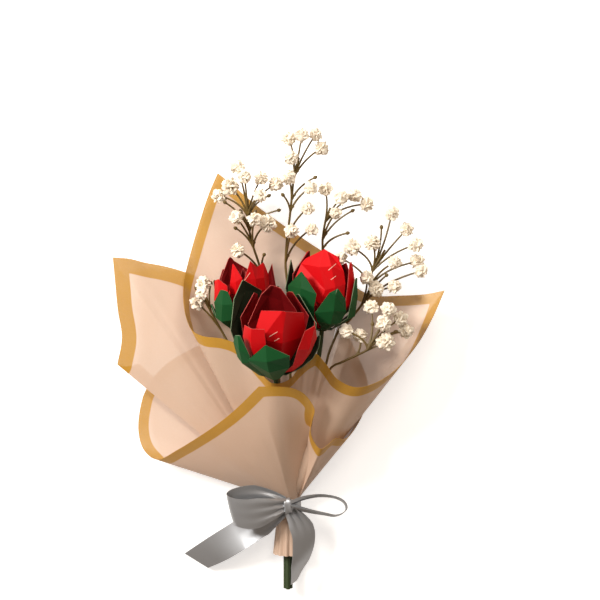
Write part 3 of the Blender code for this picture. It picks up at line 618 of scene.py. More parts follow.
FILMS = (
    Film("wrap_inner", (
        ((47, 41, 2), (43, 64, 2), (26, 74, 2), (2, 90, 2), (-22, 107, 2), (-40, 122, 2), (-58, 137, 2)),
        ((-58, 137, 2), (-66, 118, 2), (-75, 90, 2), (-82, 64, 5), (-85, 45, 14), (-83, 26, 30),
         (-77, 10, 40), (-67, 4, 46), (-51, 2, 50), (-37, -4, 54), (-24, -20, 61), (-12, -31.5, 66),
         (1, -29.5, 60), (11, -18.5, 53), (21, -9.5, 51), (30, -17.5, 56), (39, -29, 63), (54, -35, 65),
         (72, -30, 60), (88, -19, 50), (103, -2, 42), (115, 18, 37), (125, 40, 34)),
        ((125, 40, 34), (110, 37, 26), (91, 36, 18), (71, 36, 10), (57, 42, 5), (51, 50, 3.4)),
    ), (0, 1, 2), INNER_RING, -48.0, 352.0, (0.3, 0.32), FilmFinish("inner_film"),
        (Crease(((-37, -4, 54), (1, -29.5, 60), (24, -12, 53)), (0.0, 8.0, 0.0)),)),
    Film("wrap_left", (
        ((-22, 32, 1.1), (-41, 39, 1.1), (-60, 45, 1.6), (-84, 55, 3), (-101, 60, 6), (-117, 63, 10),
         (-129, 66, 14), (-142, 67, 18)),
        ((-142, 67, 18), (-140, 46, 18), (-138, 24, 17), (-135, 2, 15), (-139, -20, 13)),
        ((-139, -20, 13), (-133, -22, 9), (-122, -20, 6)),
    ), (0, 1), INNER_RING + FILM_PITCH, -5.0, 95.0, (0.16, 0.26), FilmFinish("left_film", border=12.0)),
    Film("wrap_outer", (
        ((10, 18, 0.2), (-32, 8, 0.2), (-73, -5, 0.2), (-101, -21, 2), (-116, -40, 5), (-121, -56, 8),
         (-122, -74, 12), (-117, -89, 17), (-105, -96, 24), (-88, -87, 36), (-61, -69, 52),
         (-41, -53, 62), (-22, -34, 70)),
        ((-22, -34, 70), (-9, -34, 73), (3, -35, 72), (12, -39, 70), (18, -46, 67), (21, -53, 64),
         (19, -61, 60), (18, -71, 55), (21, -79, 53), (26, -84, 54), (32, -80, 54), (38, -76, 50),
         (48.5, -76, 38.5), (61.5, -57, 22), (65, -35, 9), (57, -13, 3), (46, 12, 0.2)),
    ), (0, 1), INNER_RING + 2.0 * FILM_PITCH, -35.0, 350.0, (0.28, 0.24), FilmFinish("outer_film"),
        (Crease(((-88, -87, 36), (-22, -34, 70), (18, -71, 55), (26, -84, 54)), (0.0, -5.0, 18.0, 0.0)),)),
)


# Shapes of the sprigs' small parts: share of the length and of the radius
LEAF_SHAPE = ((0.0, 0.5), (0.4, 0.75), (0.8, 0.4), (1.0, 0.1))
BUD_SHAPE = ((0.0, 0.5), (0.25, 1.0), (0.6, 0.95), (0.85, 0.6), (1.0, 0.15))

# The florets of the sprigs' heads: noise scale, share of breadth, lean off the normal, range of sizes
FLORET_NOISE = 1.6
FLORET_BREADTH = 0.8
FLORET_LEAN = 0.7
FLORET_SIZES = (0.7, 1.25)


class PaperSlot(IntEnum):
    """The material slots of a folded unit, in order."""

    OUTSIDE = 0
    # The inside slot takes a darker copy of the paper: painted shade.
    INSIDE = 1
    RIM = 2
    CUT = 3


@dataclass
class PaperFlower:
    """One flower of folded paper: its units, their pale cut edges and the small cuts in their petals."""

    name: str
    waist: Point
    tilt: float
    lean: float
    cuts: tuple[tuple[tuple[float, float], tuple[float, float]], ...]
    rim_edge: float = 0.85
    cut_width: float = 0.42
    cut_height: float = 0.16
    cut_points: int = 7

    def axis(self) -> Array:
        """Return the flower's axis as a unit vector."""
        a, b = math.radians(self.tilt), math.radians(self.lean)
        return unit(np.array((math.sin(b), math.cos(a) * math.cos(b), math.sin(a) * math.cos(b))))

    def copy_of(self, node: bpy.types.Object) -> bmesh.types.BMesh:
        """Return a solid's mesh with its doubled points merged."""
        work = bmesh.new()
        work.from_mesh(node.data)
        work.transform(node.matrix_world)
        bmesh.ops.remove_doubles(work, verts=work.verts, dist=0.01 * MM)
        return work

    def slot_of(self, face: bmesh.types.BMFace) -> PaperSlot:
        """Return the material slot of a face, by its shortest edge and the side that it faces."""
        if min(edge.calc_length() for edge in face.edges) < self.rim_edge * MM:
            return PaperSlot.RIM
        away = np.array(face.calc_center_median()) - np.array(self.waist) * MM
        axis = self.axis()
        away = away - axis * float(np.dot(away, axis))
        # Faces turned in towards the flower's axis take the darker inside paper, which is painted shade.
        faces_out = float(np.dot(away, np.array(face.normal))) > 0.0
        return PaperSlot.OUTSIDE if faces_out else PaperSlot.INSIDE

    def add_cut(self, work: bmesh.types.BMesh, surface: BVHTree, start: tuple[float, float],
                end: tuple[float, float]) -> bool:
        """Lay the pale line of a cut on the petal that lies under two points.

        Args:
            work: The petal's mesh, which takes the line.
            surface: The same mesh, to find its upper side.
            start: The line's first end, seen from above.
            end: The line's other end.

        Returns:
            Whether the petal lies under both ends.
        """
        places = []
        for share in np.linspace(0.0, 1.0, self.cut_points):
            x, y = (a + share * (b - a) for a, b in zip(start, end))
            place, normal, _, _ = surface.ray_cast(Vector((x * MM, y * MM, 1.0)), Vector((0.0, 0.0, -1.0)))
            if place is None:
                return False
            places.append((np.array(place), np.array(normal)))
        along = unit(places[-1][0] - places[0][0])
        rings = []
        for place, normal in places:
            side = unit(np.cross(along, normal)) * 0.5 * self.cut_width * MM
            low, high = place - 0.5 * normal * self.cut_height * MM, place + normal * self.cut_height * MM
            rings.append([work.verts.new(p) for p in (low - side, low + side, high + side, high - side)])
        faces = [rings[0], rings[-1][::-1]]
        for one, two in zip(rings, rings[1:]):
            faces += [(one[i], one[(i + 1) % 4], two[(i + 1) % 4], two[i]) for i in range(4)]
        for corners in faces:
            work.faces.new(corners).material_index = PaperSlot.CUT
        return True

    def build(self, nodes: dict[str, bpy.types.Object], red: list[bpy.types.Material],
              green: list[bpy.types.Material]) -> None:
        """Dress each folded unit of the flower.

        Args:
            nodes: The carried-over solids.
            red: Materials of the red units, in the order of PaperSlot.
            green: Materials of the sepals, in the same order, without one for cuts.
        """
        for name in sorted(n for n in nodes if n.startswith(f"{self.name}_") and "_unit_" in n):
            work = self.copy_of(nodes[name])
            for face in work.faces:
                face.material_index = self.slot_of(face)
            surface = BVHTree.FromBMesh(work)
            if "middle" in name:
                laid = sum(self.add_cut(work, surface, start, end) for start, end in self.cuts)
                LOG.info("%s: %d of %d cuts", name, laid, len(self.cuts))
            bmesh.ops.recalc_face_normals(work, faces=work.faces)
            mesh = bpy.data.meshes.new(f"{name}_paper")
            work.to_mesh(mesh)
            work.free()
            is_sepal = "sepal" in name
            for material in green if is_sepal else red:
                mesh.materials.append(material)
            piece = linked(f"{name}_paper", mesh)
            claim(piece, "green_paper" if is_sepal else "red_paper", name)


FLOWERS = (
    PaperFlower("front", (-8.8, -23.9, 66.0), 32.0, 0.0,
                (((-12.9, 5.4), (-6.8, 9.0)), ((-9.3, 2.1), (-5.5, 4.2)))),
    PaperFlower("right", (27.2, 10.2, 38.0), 18.0, 3.0,
                (((31.6, 55.3), (37.3, 60.2)), ((33.4, 47.9), (37.3, 50.9)))),
    PaperFlower("left", (-34.5, 9.3, 27.0), 18.0, -2.0,
                (((-29.1, 53.6), (-33.6, 47.1)),)),
)


def random_value(graph: Graph, seed: bpy.types.NodeSocket, low: float, high: float) -> bpy.types.NodeSocket:
    """Add a random number between low and high for each instance and return it."""
    node = graph.node("FunctionNodeRandomValue", {"Seed": seed}, data_type="FLOAT")
    node.inputs[2].default_value = low
    node.inputs[3].default_value = high
    return node.outputs[1]


def floret_petal(graph: Graph, given: bpy.types.bpy_prop_collection) -> bpy.types.NodeSocket:
    """Add the nodes of one crumpled floret.

    Args:
        graph: The geometry group's graph.
        given: The group's own inputs.

    Returns:
        The floret, one unit wide.
    """
    ball = graph.node("GeometryNodeMeshIcoSphere", {"Radius": 1.0, "Subdivisions": 2})
    place = graph.node("GeometryNodeInputPosition").outputs[0]
    noise = graph.node("ShaderNodeTexNoise", {"Vector": place, "Scale": FLORET_NOISE, "Detail": 2.0})
    shift = graph.vector("SUBTRACT", noise.outputs["Color"], (0.5, 0.5, 0.5))
    scaled = graph.node("ShaderNodeVectorMath", {0: shift, "Scale": given["Crumple"]}, operation="SCALE")
    crumpled = graph.node("GeometryNodeSetPosition", {
        "Geometry": ball.outputs[0], "Offset": scaled.outputs[0]})
    thin = graph.node("ShaderNodeCombineXYZ", {0: 1.0, 1: FLORET_BREADTH, 2: given["Thinness"]})
    petal = graph.node("GeometryNodeTransform", {"Geometry": crumpled.outputs[0], "Scale": thin.outputs[0]})
    return petal.outputs[0]


def floret_turn(graph: Graph, seed: bpy.types.NodeSocket) -> bpy.types.NodeSocket:
    """Add the nodes that lean each floret off its head's normal and spin it.

    Args:
        graph: The geometry group's graph.
        seed: The seed of its random numbers.

    Returns:
        The florets' rotation.
    """
    normal = graph.node("GeometryNodeInputNormal").outputs[0]
    turn = graph.node("FunctionNodeRandomValue", {"Seed": seed}, data_type="FLOAT_VECTOR")
    turn.inputs[0].default_value = (-FLORET_LEAN,) * 3
    turn.inputs[1].default_value = (FLORET_LEAN,) * 3
    lean = graph.vector("ADD", normal, turn.outputs[0])
    upright = graph.node("FunctionNodeAlignRotationToVector", {"Vector": lean}, axis="X")
    spin = random_value(graph, seed, 0.0, 2.0 * math.pi)
    spun = graph.node("FunctionNodeAxisAngleToRotation", {"Axis": (1.0, 0.0, 0.0), "Angle": spin})
    return graph.node("FunctionNodeRotateRotation", {0: upright.outputs[0], 1: spun.outputs[0]},
                      rotation_space="LOCAL").outputs[0]


def floret_group() -> bpy.types.NodeTree:
    """Build the geometry group that covers flower heads with crumpled florets, once.

    Returns:
        The group, which takes the heads and gives their florets.
    """
    known = bpy.data.node_groups.get("floret_heads")
    if known:
        return known
    tree = bpy.data.node_groups.new("floret_heads", "GeometryNodeTree")
    face = tree.interface
    face.new_socket("Heads", in_out="INPUT", socket_type="NodeSocketGeometry")
    for name, value in (("Floret Size", 2.5 * MM), ("Thinness", 0.3), ("Crumple", 0.6)):
        face.new_socket(name, in_out="INPUT", socket_type="NodeSocketFloat").default_value = value
    face.new_socket("Seed", in_out="INPUT", socket_type="NodeSocketInt").default_value = SEED
    face.new_socket("Material", in_out="INPUT", socket_type="NodeSocketMaterial")
    face.new_socket("Florets", in_out="OUTPUT", socket_type="NodeSocketGeometry")
    graph = Graph(tree)
    given = graph.node("NodeGroupInput").outputs
    size = random_value(graph, given["Seed"], *FLORET_SIZES)
    placed = graph.node("GeometryNodeInstanceOnPoints", {
        "Points": given["Heads"], "Instance": floret_petal(graph, given),
        "Rotation": floret_turn(graph, given["Seed"]),
        "Scale": graph.maths("MULTIPLY", size, given["Floret Size"])})
    real = graph.node("GeometryNodeRealizeInstances", {"Geometry": placed.outputs[0]})
    dressed = graph.node("GeometryNodeSetMaterial", {
        "Geometry": real.outputs[0], "Material": given["Material"]})
    graph.node("NodeGroupOutput", {0: dressed.outputs[0]})
    return tree


@dataclass
class Sprig:
    """One artificial sprig: main stem, twigs, scale leaves, buds and flower heads."""

    name: str
    slot_angle: float
    stem: tuple[Point, ...]
    heads: tuple[tuple[float, float, float, float], ...]
    buds: tuple[Point, ...]
    stem_radius: float = 1.2
    top_radius: float = 0.9
    stem_end: float = -156.0
    stem_step: float = 14.0
    fine_step: float = 4.0
    stem_sides: int = 8
    twig_radius: float = 1.0
    tip_radius: float = 0.72
    twig_drop: float = 12.0
    twig_follow: float = 0.55
    twig_points: int = 9
    twig_sides: int = 6
    bud_radius: float = 1.5
    bud_length: float = 3.6
    leaf_radius: float = 1.0
    leaf_length: float = 3.0
    leaf_lean: Point = (0.6, 0.0, 0.4)
    small_sides: int = 7
    floret_size: float = 2.7
    floret_thinness: float = 0.3
    floret_crumple: float = 0.8
    floret_sink: float = 0.45
    head_lumps: float = 0.22
    smooth_angle: float = 50.0

    def slot_point(self, y: float) -> Array:
        """Return the centre of the sprig's slot in the tie."""
        turn = math.radians(self.slot_angle)
        return np.array((SPRIG_SLOT_RADIUS * math.cos(turn), y, TIE_Z + SPRIG_SLOT_RADIUS * math.sin(turn)))

    def main_run(self) -> Array:
        """Return the main stem's points."""
        low, tied = self.slot_point(self.stem_end), self.slot_point(TIE_Y)
        high = self.slot_point(TIE_Y + TIE_RUN + self.stem_radius)
        path = [low, tied, high] + [np.array(p, dtype=float) for p in self.stem]
        return smooth_run(path, self.stem_step)

    def twig_run(self, main: Array, target: Point) -> Array:
        """Find a twig's path, which leaves along the main stem.

        Args:
            main: The main stem's points.
            target: The head or bud that the twig carries.

        Returns:
            The twig's points.
        """
        end = np.array(target, dtype=float)
        below = [i for i in range(len(main) - 1) if main[i][1] < end[1] - self.twig_drop]
        index = below[-1] if below else 1
        start = main[index]
        along = unit(main[index + 1] - start)
        follow = self.twig_follow
        middle = start + along * follow * float(np.linalg.norm(end - start))
        middle = follow * middle + (1.0 - follow) * 0.5 * (start + end)
        return np.array([(1 - t) ** 2 * start + 2 * t * (1 - t) * middle + t ** 2 * end
                         for t in np.linspace(0.0, 1.0, self.twig_points)])

    def add_shape(self, parts: MeshParts, start: Array, along: Array, length: float, radius: float,
                  shape: tuple[tuple[float, float], ...]) -> None:
        """Add a small turned body.

        Args:
            parts: The mesh that takes it.
            start: Its lower end.
            along: Its direction.
            length: Its length.
            radius: Its radius.
            shape: Share of the length and of the radius for each ring.
        """
        centres = np.array([start + along * length * share for share, _ in shape])
        radii = np.array([radius * share for _, share in shape])
        parts.add(*tube_body(centres, radii, self.small_sides))

    def add_twig(self, parts: MeshParts, path: Array, is_bud: bool) -> None:
        """Add a twig with its scale leaf and, where it carries no flower head, its bud.

        Args:
            parts: The mesh that takes them.
            path: The twig's points.
            is_bud: Whether a bud closes the twig.
        """
        radii = np.linspace(self.twig_radius, self.tip_radius, len(path))
        parts.add(*tube_body(path, radii, self.twig_sides))
        first = path[2] - path[1]
        leaf = unit(first + np.array(self.leaf_lean) * np.linalg.norm(first))
        self.add_shape(parts, path[1], leaf, self.leaf_length, self.leaf_radius, LEAF_SHAPE)
        if is_bud:
            along = unit(path[-1] - path[-2])
            start = path[-1] - along * 0.5 * self.bud_length
            self.add_shape(parts, start, along, self.bud_length, self.bud_radius, BUD_SHAPE)

    def build_twigs(self, material: bpy.types.Material) -> None:
        """Build the stem, twigs, buds and scale leaves."""
        parts = MeshParts()
        main = self.main_run()
        fine = smooth_run(main, self.fine_step)
        radii = self.stem_radius + (self.top_radius - self.stem_radius) * np.linspace(0.0, 1.0, len(fine))
        parts.add(*tube_body(fine, radii, self.stem_sides))
        for target in [head[:3] for head in self.heads] + list(self.buds):
            self.add_twig(parts, self.twig_run(main, target), target in self.buds)
        piece = parts.to_object(f"sprig_{self.name}_twigs", material, self.smooth_angle)
        claim(piece, "sprig_plastic", f"sprig_{self.name}")

    def head_balls(self) -> bpy.types.Object:
        """Build the lumpy balls that the florets sit on."""
        work = bmesh.new()
        lumps = np.random.default_rng(SEED)
        for x, y, z, radius in self.heads:
            made = bmesh.ops.create_icosphere(work, subdivisions=2, radius=1.0)
            inner = radius - self.floret_sink * self.floret_size
            for vertex in made["verts"]:
                scale = inner * (1.0 - self.head_lumps * float(lumps.random()))
                vertex.co = (Vector((x, y, z)) + vertex.co * scale) * MM
        mesh = bpy.data.meshes.new("head_balls")
        work.to_mesh(mesh)
        work.free()
        return linked("head_balls", mesh)

    def build_heads(self, material: bpy.types.Material) -> None:
        """Build the flower heads, each a ball of crumpled florets."""
        base = self.head_balls()
        tree = floret_group()
        modifier = base.modifiers.new("florets", "NODES")
        modifier.node_group = tree
        sockets = {item.name: item.identifier for item in tree.interface.items_tree if item.in_out == "INPUT"}
        modifier[sockets["Floret Size"]] = self.floret_size * MM
        modifier[sockets["Thinness"]] = self.floret_thinness
        modifier[sockets["Crumple"]] = self.floret_crumple
        modifier[sockets["Seed"]] = SEED + ord(self.name)
        modifier[sockets["Material"]] = material
        evaluated = base.evaluated_get(bpy.context.evaluated_depsgraph_get())
        florets = bpy.data.meshes.new_from_object(evaluated)
        bpy.data.objects.remove(base, do_unlink=True)
        florets.name = f"sprig_{self.name}_heads"
        claim(linked(florets.name, florets), "sprig_plastic")


SPRIGS = (
    Sprig("a", 228,
          ((-10, 8, 8), (-21, 53, 10), (-28, 75, 18), (-31, 88, 24), (-32, 99, 28), (-32, 113, 33)),
          ((-40, 138, 40, 5), (-34, 129, 46, 4.6), (-46, 123, 34, 7), (-55, 116, 30, 5.2),
           (-41, 98, 36, 5), (-21, 129, 38, 5), (-22, 115, 46, 5), (-10, 125, 33, 5.2), (-26, 96, 44, 5),
           (-16, 93, 36, 6.4), (-40, 72, 32, 5.2)),
          ((-42, 90, 30), (-38, 104, 26), (-26, 103, 34), (-15, 116, 30), (-7, 104, 34), (-19, 69, 26),
           (-50, 110, 38))),
    Sprig("b", 270,
          ((2, 8, 9), (-2, 63, 14), (1, 95, 26), (2, 103, 30), (3, 112, 33), (5, 130, 38), (9, 145, 41)),
          ((1, 160, 42, 5), (11, 162, 48, 5), (22, 163, 42, 4.6), (27, 153, 38, 5), (3, 144, 49, 5),
           (1, 129, 44, 5.2), (18, 121, 42, 4.6), (16, 105, 40, 4.6), (3, 87, 38, 5.2), (19, 89, 34, 4.6)),
          ((22, 130, 36), (-4, 116, 38))),
    Sprig("c", 316,
          ((15, 8, 8), (27, 61, 10), (28, 81, 20), (30, 95, 28), (34, 106, 32)),
          ((30, 121, 34, 5.2), (42, 113, 43, 5), (53, 116, 34, 5.2), (63, 109, 32, 5.2),
           (38, 101, 44, 4.2)),
          ((52, 104, 30), (48, 86, 30))),
    Sprig("d", 2,
          ((34, -8, 19), (48, 14, 15), (60, 29, 17), (66, 43, 29), (67, 55, 38), (77, 72, 42)),
          ((51, 74, 42, 6.4), (42, 66, 34, 4.6), (67, 77, 48, 6), (82, 101, 46, 5), (94, 88, 42, 5),
           (101, 76, 46, 5.2), (103, 63, 36, 5.4), (105, 55, 46, 4.6), (84, 62, 50, 4.6), (62, 50, 51, 5),
           (70, 41, 44, 6), (84, 43, 42, 5)),
          ((74, 90, 44), (78, 52, 47))),
    Sprig("e", 42,
          ((27, -35, 36), (41, -17, 50), (53, -11, 56), (62, -6, 60), (68, 4, 62)),
          ((65, 27, 56, 5.2), (78, 25, 62, 5.2), (74, 14, 68, 5.4), (88, 18, 54, 5.4), (93, 8, 50, 5.2),
           (76, 0, 62, 6.6), (46, 8, 54, 5), (57, 4, 49, 5)),
          ((84, 8, 62), (66, 14, 60))),
    Sprig("f", 176,
          ((-35, -32, 20), (-54, 8, 20), (-62, 23, 24), (-66, 32, 27)),
          ((-67, 46, 32, 5.4), (-73, 30, 26, 5.2), (-68, 38, 40, 4.6)),
          ((-62, 46, 22), (-74, 42, 24))),
)


@dataclass
class Strip:
    """One run of ribbon: its path, width directions and width shares at the start, middle and end."""

    path: tuple[Point, ...]
    directions: tuple[Point, Point, Point]
    shares: tuple[float, float, float]
    pinched_ends: tuple[float, ...] = (0.0,)


@dataclass
class RibbonBow:
    """Satin ribbon tied in a bow: turns round the tie, knot, two loops and two tails."""

    width: float = 24.0
    cut_length: float = 620.0
    thickness: float = 0.34
    step: float = 1.6
    columns: int = 17
    pinch_depth: float = 1.1
    pinch_reach: float = 0.22
    pleats: float = 3.0
    pleat_phase: float = 1.3
    crown: float = 2.2
    full_run: tuple[float, float] = (0.25, 0.75)
    band_sides: int = 96
    band_points: int = 9
    band_ridge: float = 0.18
    band_waves: float = 26.0
    knot_size: Point = (10.0, 13.0, 9.0)
    knot_offset: float = 4.0
    knot_sink: float = 0.7
    knot_roundness: float = 0.7
    knot_fold_depth: float = 0.07
    knot_folds: tuple[float, float] = (9.0, 2.5)
    smooth_angle: float = 50.0
    strips: tuple[Strip, ...] = (
        Strip(((-2, -132, 25), (-14, -129, 26.5), (-29, -128, 28), (-41, -130, 30.5), (-46, -133, 34.5),
               (-42, -136, 38.5), (-31, -137.5, 39), (-17, -136, 35), (-2, -133, 27)),
              ((0.1, 1.0, 0.0), (-0.24, 1.0, 0.1), (0.1, 1.0, 0.0)), (0.5, 1.0, 0.5), (0.0, 1.0)),
        Strip(((2, -131, 27), (12, -126.5, 29), (25.7, -124.2, 30), (38, -125.6, 30), (45, -129.5, 29.5),
               (47, -134.5, 29), (44.5, -138.4, 28.5), (38, -140.6, 28), (30, -139.2, 28),
               (20, -137.4, 27.5), (10, -135, 27), (2, -133, 26)),
              ((0.1, 0.4, 1.0), (0.1, 0.28, 1.0), (0.1, 0.4, 1.0)), (0.4, 0.5, 0.4), (0.0, 1.0)),
        Strip(((-2, -134, 24), (-13, -141, 23), (-28, -150.5, 19), (-44, -161.5, 15.5), (-60, -172, 10.5),
               (-75.5, -182, 3)),
              ((-0.4, 0.9, 0.0), (-0.5, 0.84, -0.36), (-0.86, 0.5, -0.1)), (0.5, 1.0, 0.95)),
        Strip(((2, -136, 25), (8.5, -145, 24.5), (12.6, -156, 24), (12.6, -167, 22.5), (10.8, -177, 21.5),
               (7.6, -187, 20), (4.8, -196.5, 18)),
              ((0.95, 0.2, -0.2), (0.86, 0.1, -0.5), (0.4, 0.1, -0.9)), (0.45, 0.85, 0.5)),
    )

    def strip_grid(self, strip: Strip) -> Array:
        """Shape a run of ribbon.

        Args:
            strip: The run.

        Returns:
            Its middle points, as rows along the run and columns across it.
        """
        middle = smooth_run(strip.path, self.step)
        places = np.linspace(0.0, 1.0, len(middle))
        turns = [np.interp(places, (0.0, 0.5, 1.0), [d[k] for d in strip.directions]) for k in range(3)]
        first, full, last = strip.shares
        widths = self.width * np.interp(places, (0.0, *self.full_run, 1.0), (first, full, full, last))
        offsets = np.linspace(-0.5, 0.5, self.columns)
        grid = np.array([[m + unit(a) * w * o for o in offsets]
                         for m, a, w in zip(middle, np.column_stack(turns), widths)])
        normals = grid_normals(grid)
        for end in strip.pinched_ends:
            near = np.exp(-(np.abs(places - end) / self.pinch_reach) ** 2)[:, None, None]
            pleats = np.sin(self.pleats * 2.0 * math.pi * offsets + self.pleat_phase)[None, :, None]
            grid = grid + normals * near * pleats * self.pinch_depth
        crown = (0.25 - offsets ** 2)[None, :, None] * self.crown
        return grid + normals * crown * np.sin(math.pi * places)[:, None, None]

    def band_body(self) -> tuple[Array, Faces]:
        """Return the ribbon's turns round the tie as one closed ring."""
        profile = [(BAND_OUTER + self.band_ridge * math.sin(self.band_waves * along), along)
                   for along in np.linspace(-0.5, 0.5, self.band_points)]
        profile += [(BAND_INNER, 0.5), (BAND_INNER, -0.5)]
        points = []
        for k in range(self.band_sides):
            turn = 2.0 * math.pi * k / self.band_sides
            for radius, along in profile:
                points.append((-radius * math.sin(turn), TIE_Y + along * BAND_LENGTH,
                               TIE_Z - radius * math.cos(turn)))
        count = len(profile)
        faces = []
        for k in range(self.band_sides):
            n = (k + 1) % self.band_sides
            for i in range(count):
                j = (i + 1) % count
                faces.append((count * k + i, count * n + i, count * n + j, count * k + j))
        return np.array(points), faces

    def knot_body(self) -> tuple[Array, Faces]:
        """Return the knot, a rounded fold of ribbon that crosses over the tie."""
        work = bmesh.new()
        bmesh.ops.create_icosphere(work, subdivisions=4, radius=1.0)
        lift = BAND_OUTER - self.knot_sink + 0.5 * self.knot_size[2]
        centre = np.array((0.0, TIE_Y + self.knot_offset, TIE_Z + lift))
        across, along = self.knot_folds
        points = []
        for vertex in work.verts:
            shape = np.sign(vertex.co) * np.abs(vertex.co) ** self.knot_roundness
            wave = math.cos(across * vertex.co[0] + along * vertex.co[1])
            fold = 1.0 - self.knot_fold_depth * (1.0 + wave)
            points.append(centre + 0.5 * np.array(self.knot_size) * shape * fold)
        faces = [tuple(v.index for v in face.verts) for face in work.faces]
        work.free()
        return np.array(points), faces

    def build(self, material: bpy.types.Material) -> bpy.types.Object:
        """Args:
            material: The satin.

        Returns:
            The bow, which the films rest on.
        """
        parts = MeshParts()
        parts.add(*self.band_body())
        parts.add(*self.knot_body())
        for strip in self.strips:
            points, faces = sheet_body(self.strip_grid(strip), self.thickness)
            points[:, 2] = np.maximum(points[:, 2], 0.0)
            parts.add(points, faces)
        piece = parts.to_object("ribbon_bow_satin", material, self.smooth_angle)
        claim(piece, "grey_satin", "ribbon_bow")
        return piece


@dataclass(frozen=True)
class Lamp:
    """A square soft lamp that points at the bouquet's middle: its size in millimetres and power in watts."""

    name: str
    place: Point
    size: float
    power: float
    tint: Tint
    aim: Point = (0.0, -20.0, 30.0)

    def hang(self) -> None:
        """Add the lamp to the scene."""
        light = bpy.data.lights.new(self.name, "AREA")
        light.size = self.size * MM
        light.energy = self.power
        light.color = self.tint
        lamp = linked(self.name, light)
        lamp.location = np.array(self.place) * MM
        aim = np.array(self.aim) * MM - np.array(lamp.location)
        lamp.rotation_euler = Vector(aim).to_track_quat("-Z", "Y").to_euler()


@dataclass
class Studio:
    """Floor, lamps, plain world light and camera round the bouquet."""

    camera_place: Point = (9.74, 32.4, 1000.0)
    focal_length: float = 72.72
    sensor_width: float = 36.0
    farthest: float = 20000.0
    floor_size: float = 6000.0
    floor_drop: float = 0.4
    floor_tone: float = 0.9
    floor_roughness: float = 0.9
    floor_glow: float = 0.55
    world_tint: Tint = (1.0, 0.82, 0.67)
    world_power: float = 0.31
    lamps: tuple[Lamp, ...] = (
        Lamp("key_lamp", (-760.0, 440.0, 760.0), 320.0, 14.0, (1.0, 0.965, 0.92)),
        Lamp("fill_lamp", (180.0, 620.0, 900.0), 500.0, 4.5, (1.0, 0.94, 0.86)),
    )

    def floor_material(self) -> bpy.types.Material:
        """Return the floor's matt paper, which glows only for the camera so that it shows as white."""
        material = bpy.data.materials.new("floor_paper")
        material.use_nodes = True
        graph = Graph(material.node_tree)
        shader = material.node_tree.nodes["Principled BSDF"]
        shader.inputs["Base Color"].default_value = (self.floor_tone, self.floor_tone, self.floor_tone, 1.0)
        shader.inputs["Roughness"].default_value = self.floor_roughness
        shader.inputs["Specular IOR Level"].default_value = 0.0
        glow = graph.node("ShaderNodeEmission", {"Color": (1.0, 1.0, 1.0, 1.0), "Strength": self.floor_glow})
        path = graph.node("ShaderNodeLightPath")
        add = graph.node("ShaderNodeAddShader", {0: shader.outputs[0], 1: glow.outputs[0]})
        seen = graph.node("ShaderNodeMixShader", {
            0: path.outputs["Is Camera Ray"], 1: shader.outputs[0], 2: add.outputs[0]})
        graph.link(seen.outputs[0], material.node_tree.nodes["Material Output"], "Surface")
        return material

    def floor(self) -> None:
        """Lay the floor just under the bouquet."""
        place = (0.0, 0.0, -self.floor_drop * MM)
        bpy.ops.mesh.primitive_plane_add(size=self.floor_size * MM, location=place)
        floor = bpy.context.object
        floor.name = "floor"
        floor.data.materials.append(self.floor_material())

    def world(self) -> None:
        """Give the world a plain pale light."""
        world = bpy.data.worlds.new("studio")
        bpy.context.scene.world = world
        world.use_nodes = True
        back = world.node_tree.nodes["Background"]
        back.inputs[0].default_value = (*self.world_tint, 1.0)
        back.inputs[1].default_value = self.world_power

    def camera(self) -> None:
        """Set the camera straight above the bouquet's front."""
        data = bpy.data.cameras.new("front_camera")
        data.lens = self.focal_length
        data.sensor_width = self.sensor_width
        data.clip_end = self.farthest * MM
        camera = linked("front_camera", data)
        camera.location = np.array(self.camera_place) * MM
        bpy.context.scene.camera = camera

    def build(self) -> None:
        """Build the whole studio."""
        self.floor()
        for lamp in self.lamps:
            lamp.hang()
        self.world()
        self.camera()
        bpy.context.scene.view_settings.view_transform = "Standard"


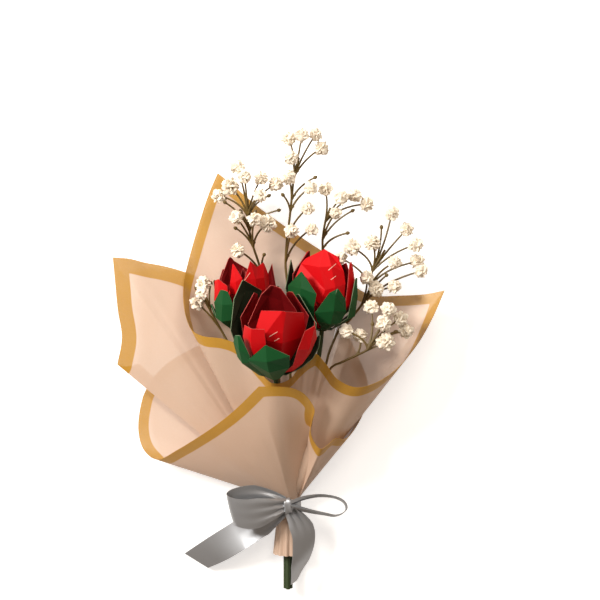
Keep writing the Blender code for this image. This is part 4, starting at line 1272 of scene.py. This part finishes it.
class Look(Enum):
    """The finishes of the bouquet."""

    RED_OUTSIDE = PaperFinish("red_paper", colour(220, 4, 16), colour(188, 1, 8), roughness=0.55)
    # A darker copy of the red paper for faces turned in towards the flower's axis: painted shade.
    RED_INSIDE_PAINTED_SHADE = PaperFinish("red_paper_inside_painted_shade", colour(128, 2, 8), colour(92, 1, 5))
    RED_RIM = PaperFinish("red_paper_rim", colour(208, 92, 84), colour(150, 44, 44))
    GREEN_OUTSIDE = PaperFinish("green_paper", colour(20, 88, 42), colour(11, 62, 26), roughness=0.6)
    # A dark copy of the green paper for the sepals' inner faces: painted shade.
    GREEN_INSIDE_PAINTED_SHADE = PaperFinish("green_paper_inside_painted_shade", colour(46, 60, 40), colour(30, 34, 24), roughness=0.7)
    GREEN_RIM = PaperFinish("green_paper_rim", colour(150, 160, 130), colour(70, 100, 68))
    CUT_EDGE = PaperFinish("paper_cut_edge", colour(255, 214, 196), colour(244, 180, 160), roughness=0.7)
    STEM = PlainFinish("stem_tape", colour(60, 78, 40), colour(36, 50, 22),
                       Grain(900.0, 54.0, 0.6, 0.8, 0.1), roughness=0.7)
    TWIG = PlainFinish("twig_plastic", colour(122, 102, 50), colour(82, 62, 28),
                       Grain(900.0, 54.0, 0.6, 0.8, 0.08))
    FLORET = PlainFinish("floret_foam", colour(255, 250, 238), colour(238, 222, 198),
                         Grain(700.0, 42.0, 0.6, 0.8, 0.1), roughness=0.8)
    RIBBON = PlainFinish("grey_satin_ribbon", colour(188, 191, 195), colour(148, 150, 154),
                         Grain(1500.0, 30.0, 0.5, 0.4, 0.04, stretch=8.0),
                         roughness=0.4, metallic=0.75, sheen=0.3)


def dress_stems(frame: dict, tape: bpy.types.Material) -> None:
    """Give the carried-over flower stems their tape."""
    for name, node in frame["nodes"].items():
        if not name.endswith("_flower_stem"):
            continue
        if not node.material_slots:
            node.data.materials.append(tape)
        for holder in node.material_slots:
            holder.material = tape
        LOG.info("%s: dressed", name)


def main() -> None:
    """Build the bouquet's looks in order."""
    logging.basicConfig(level=logging.INFO, format="%(name)s %(message)s")
    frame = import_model()
    paint = {look: look.value.material() for look in Look}
    red = [paint[look] for look in (Look.RED_OUTSIDE, Look.RED_INSIDE_PAINTED_SHADE, Look.RED_RIM, Look.CUT_EDGE)]
    green = [paint[look] for look in (Look.GREEN_OUTSIDE, Look.GREEN_INSIDE_PAINTED_SHADE, Look.GREEN_RIM)]
    dress_stems(frame, paint[Look.STEM])
    for flower in FLOWERS:
        flower.build(frame["nodes"], red, green)
    for sprig in SPRIGS:
        sprig.build_twigs(paint[Look.TWIG])
        sprig.build_heads(paint[Look.FLORET])
    bow = RibbonBow().build(paint[Look.RIBBON])
    for film in FILMS:
        film.build((bow.name,))
    Studio().build()
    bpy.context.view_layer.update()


if __name__ == "__main__":
    main()
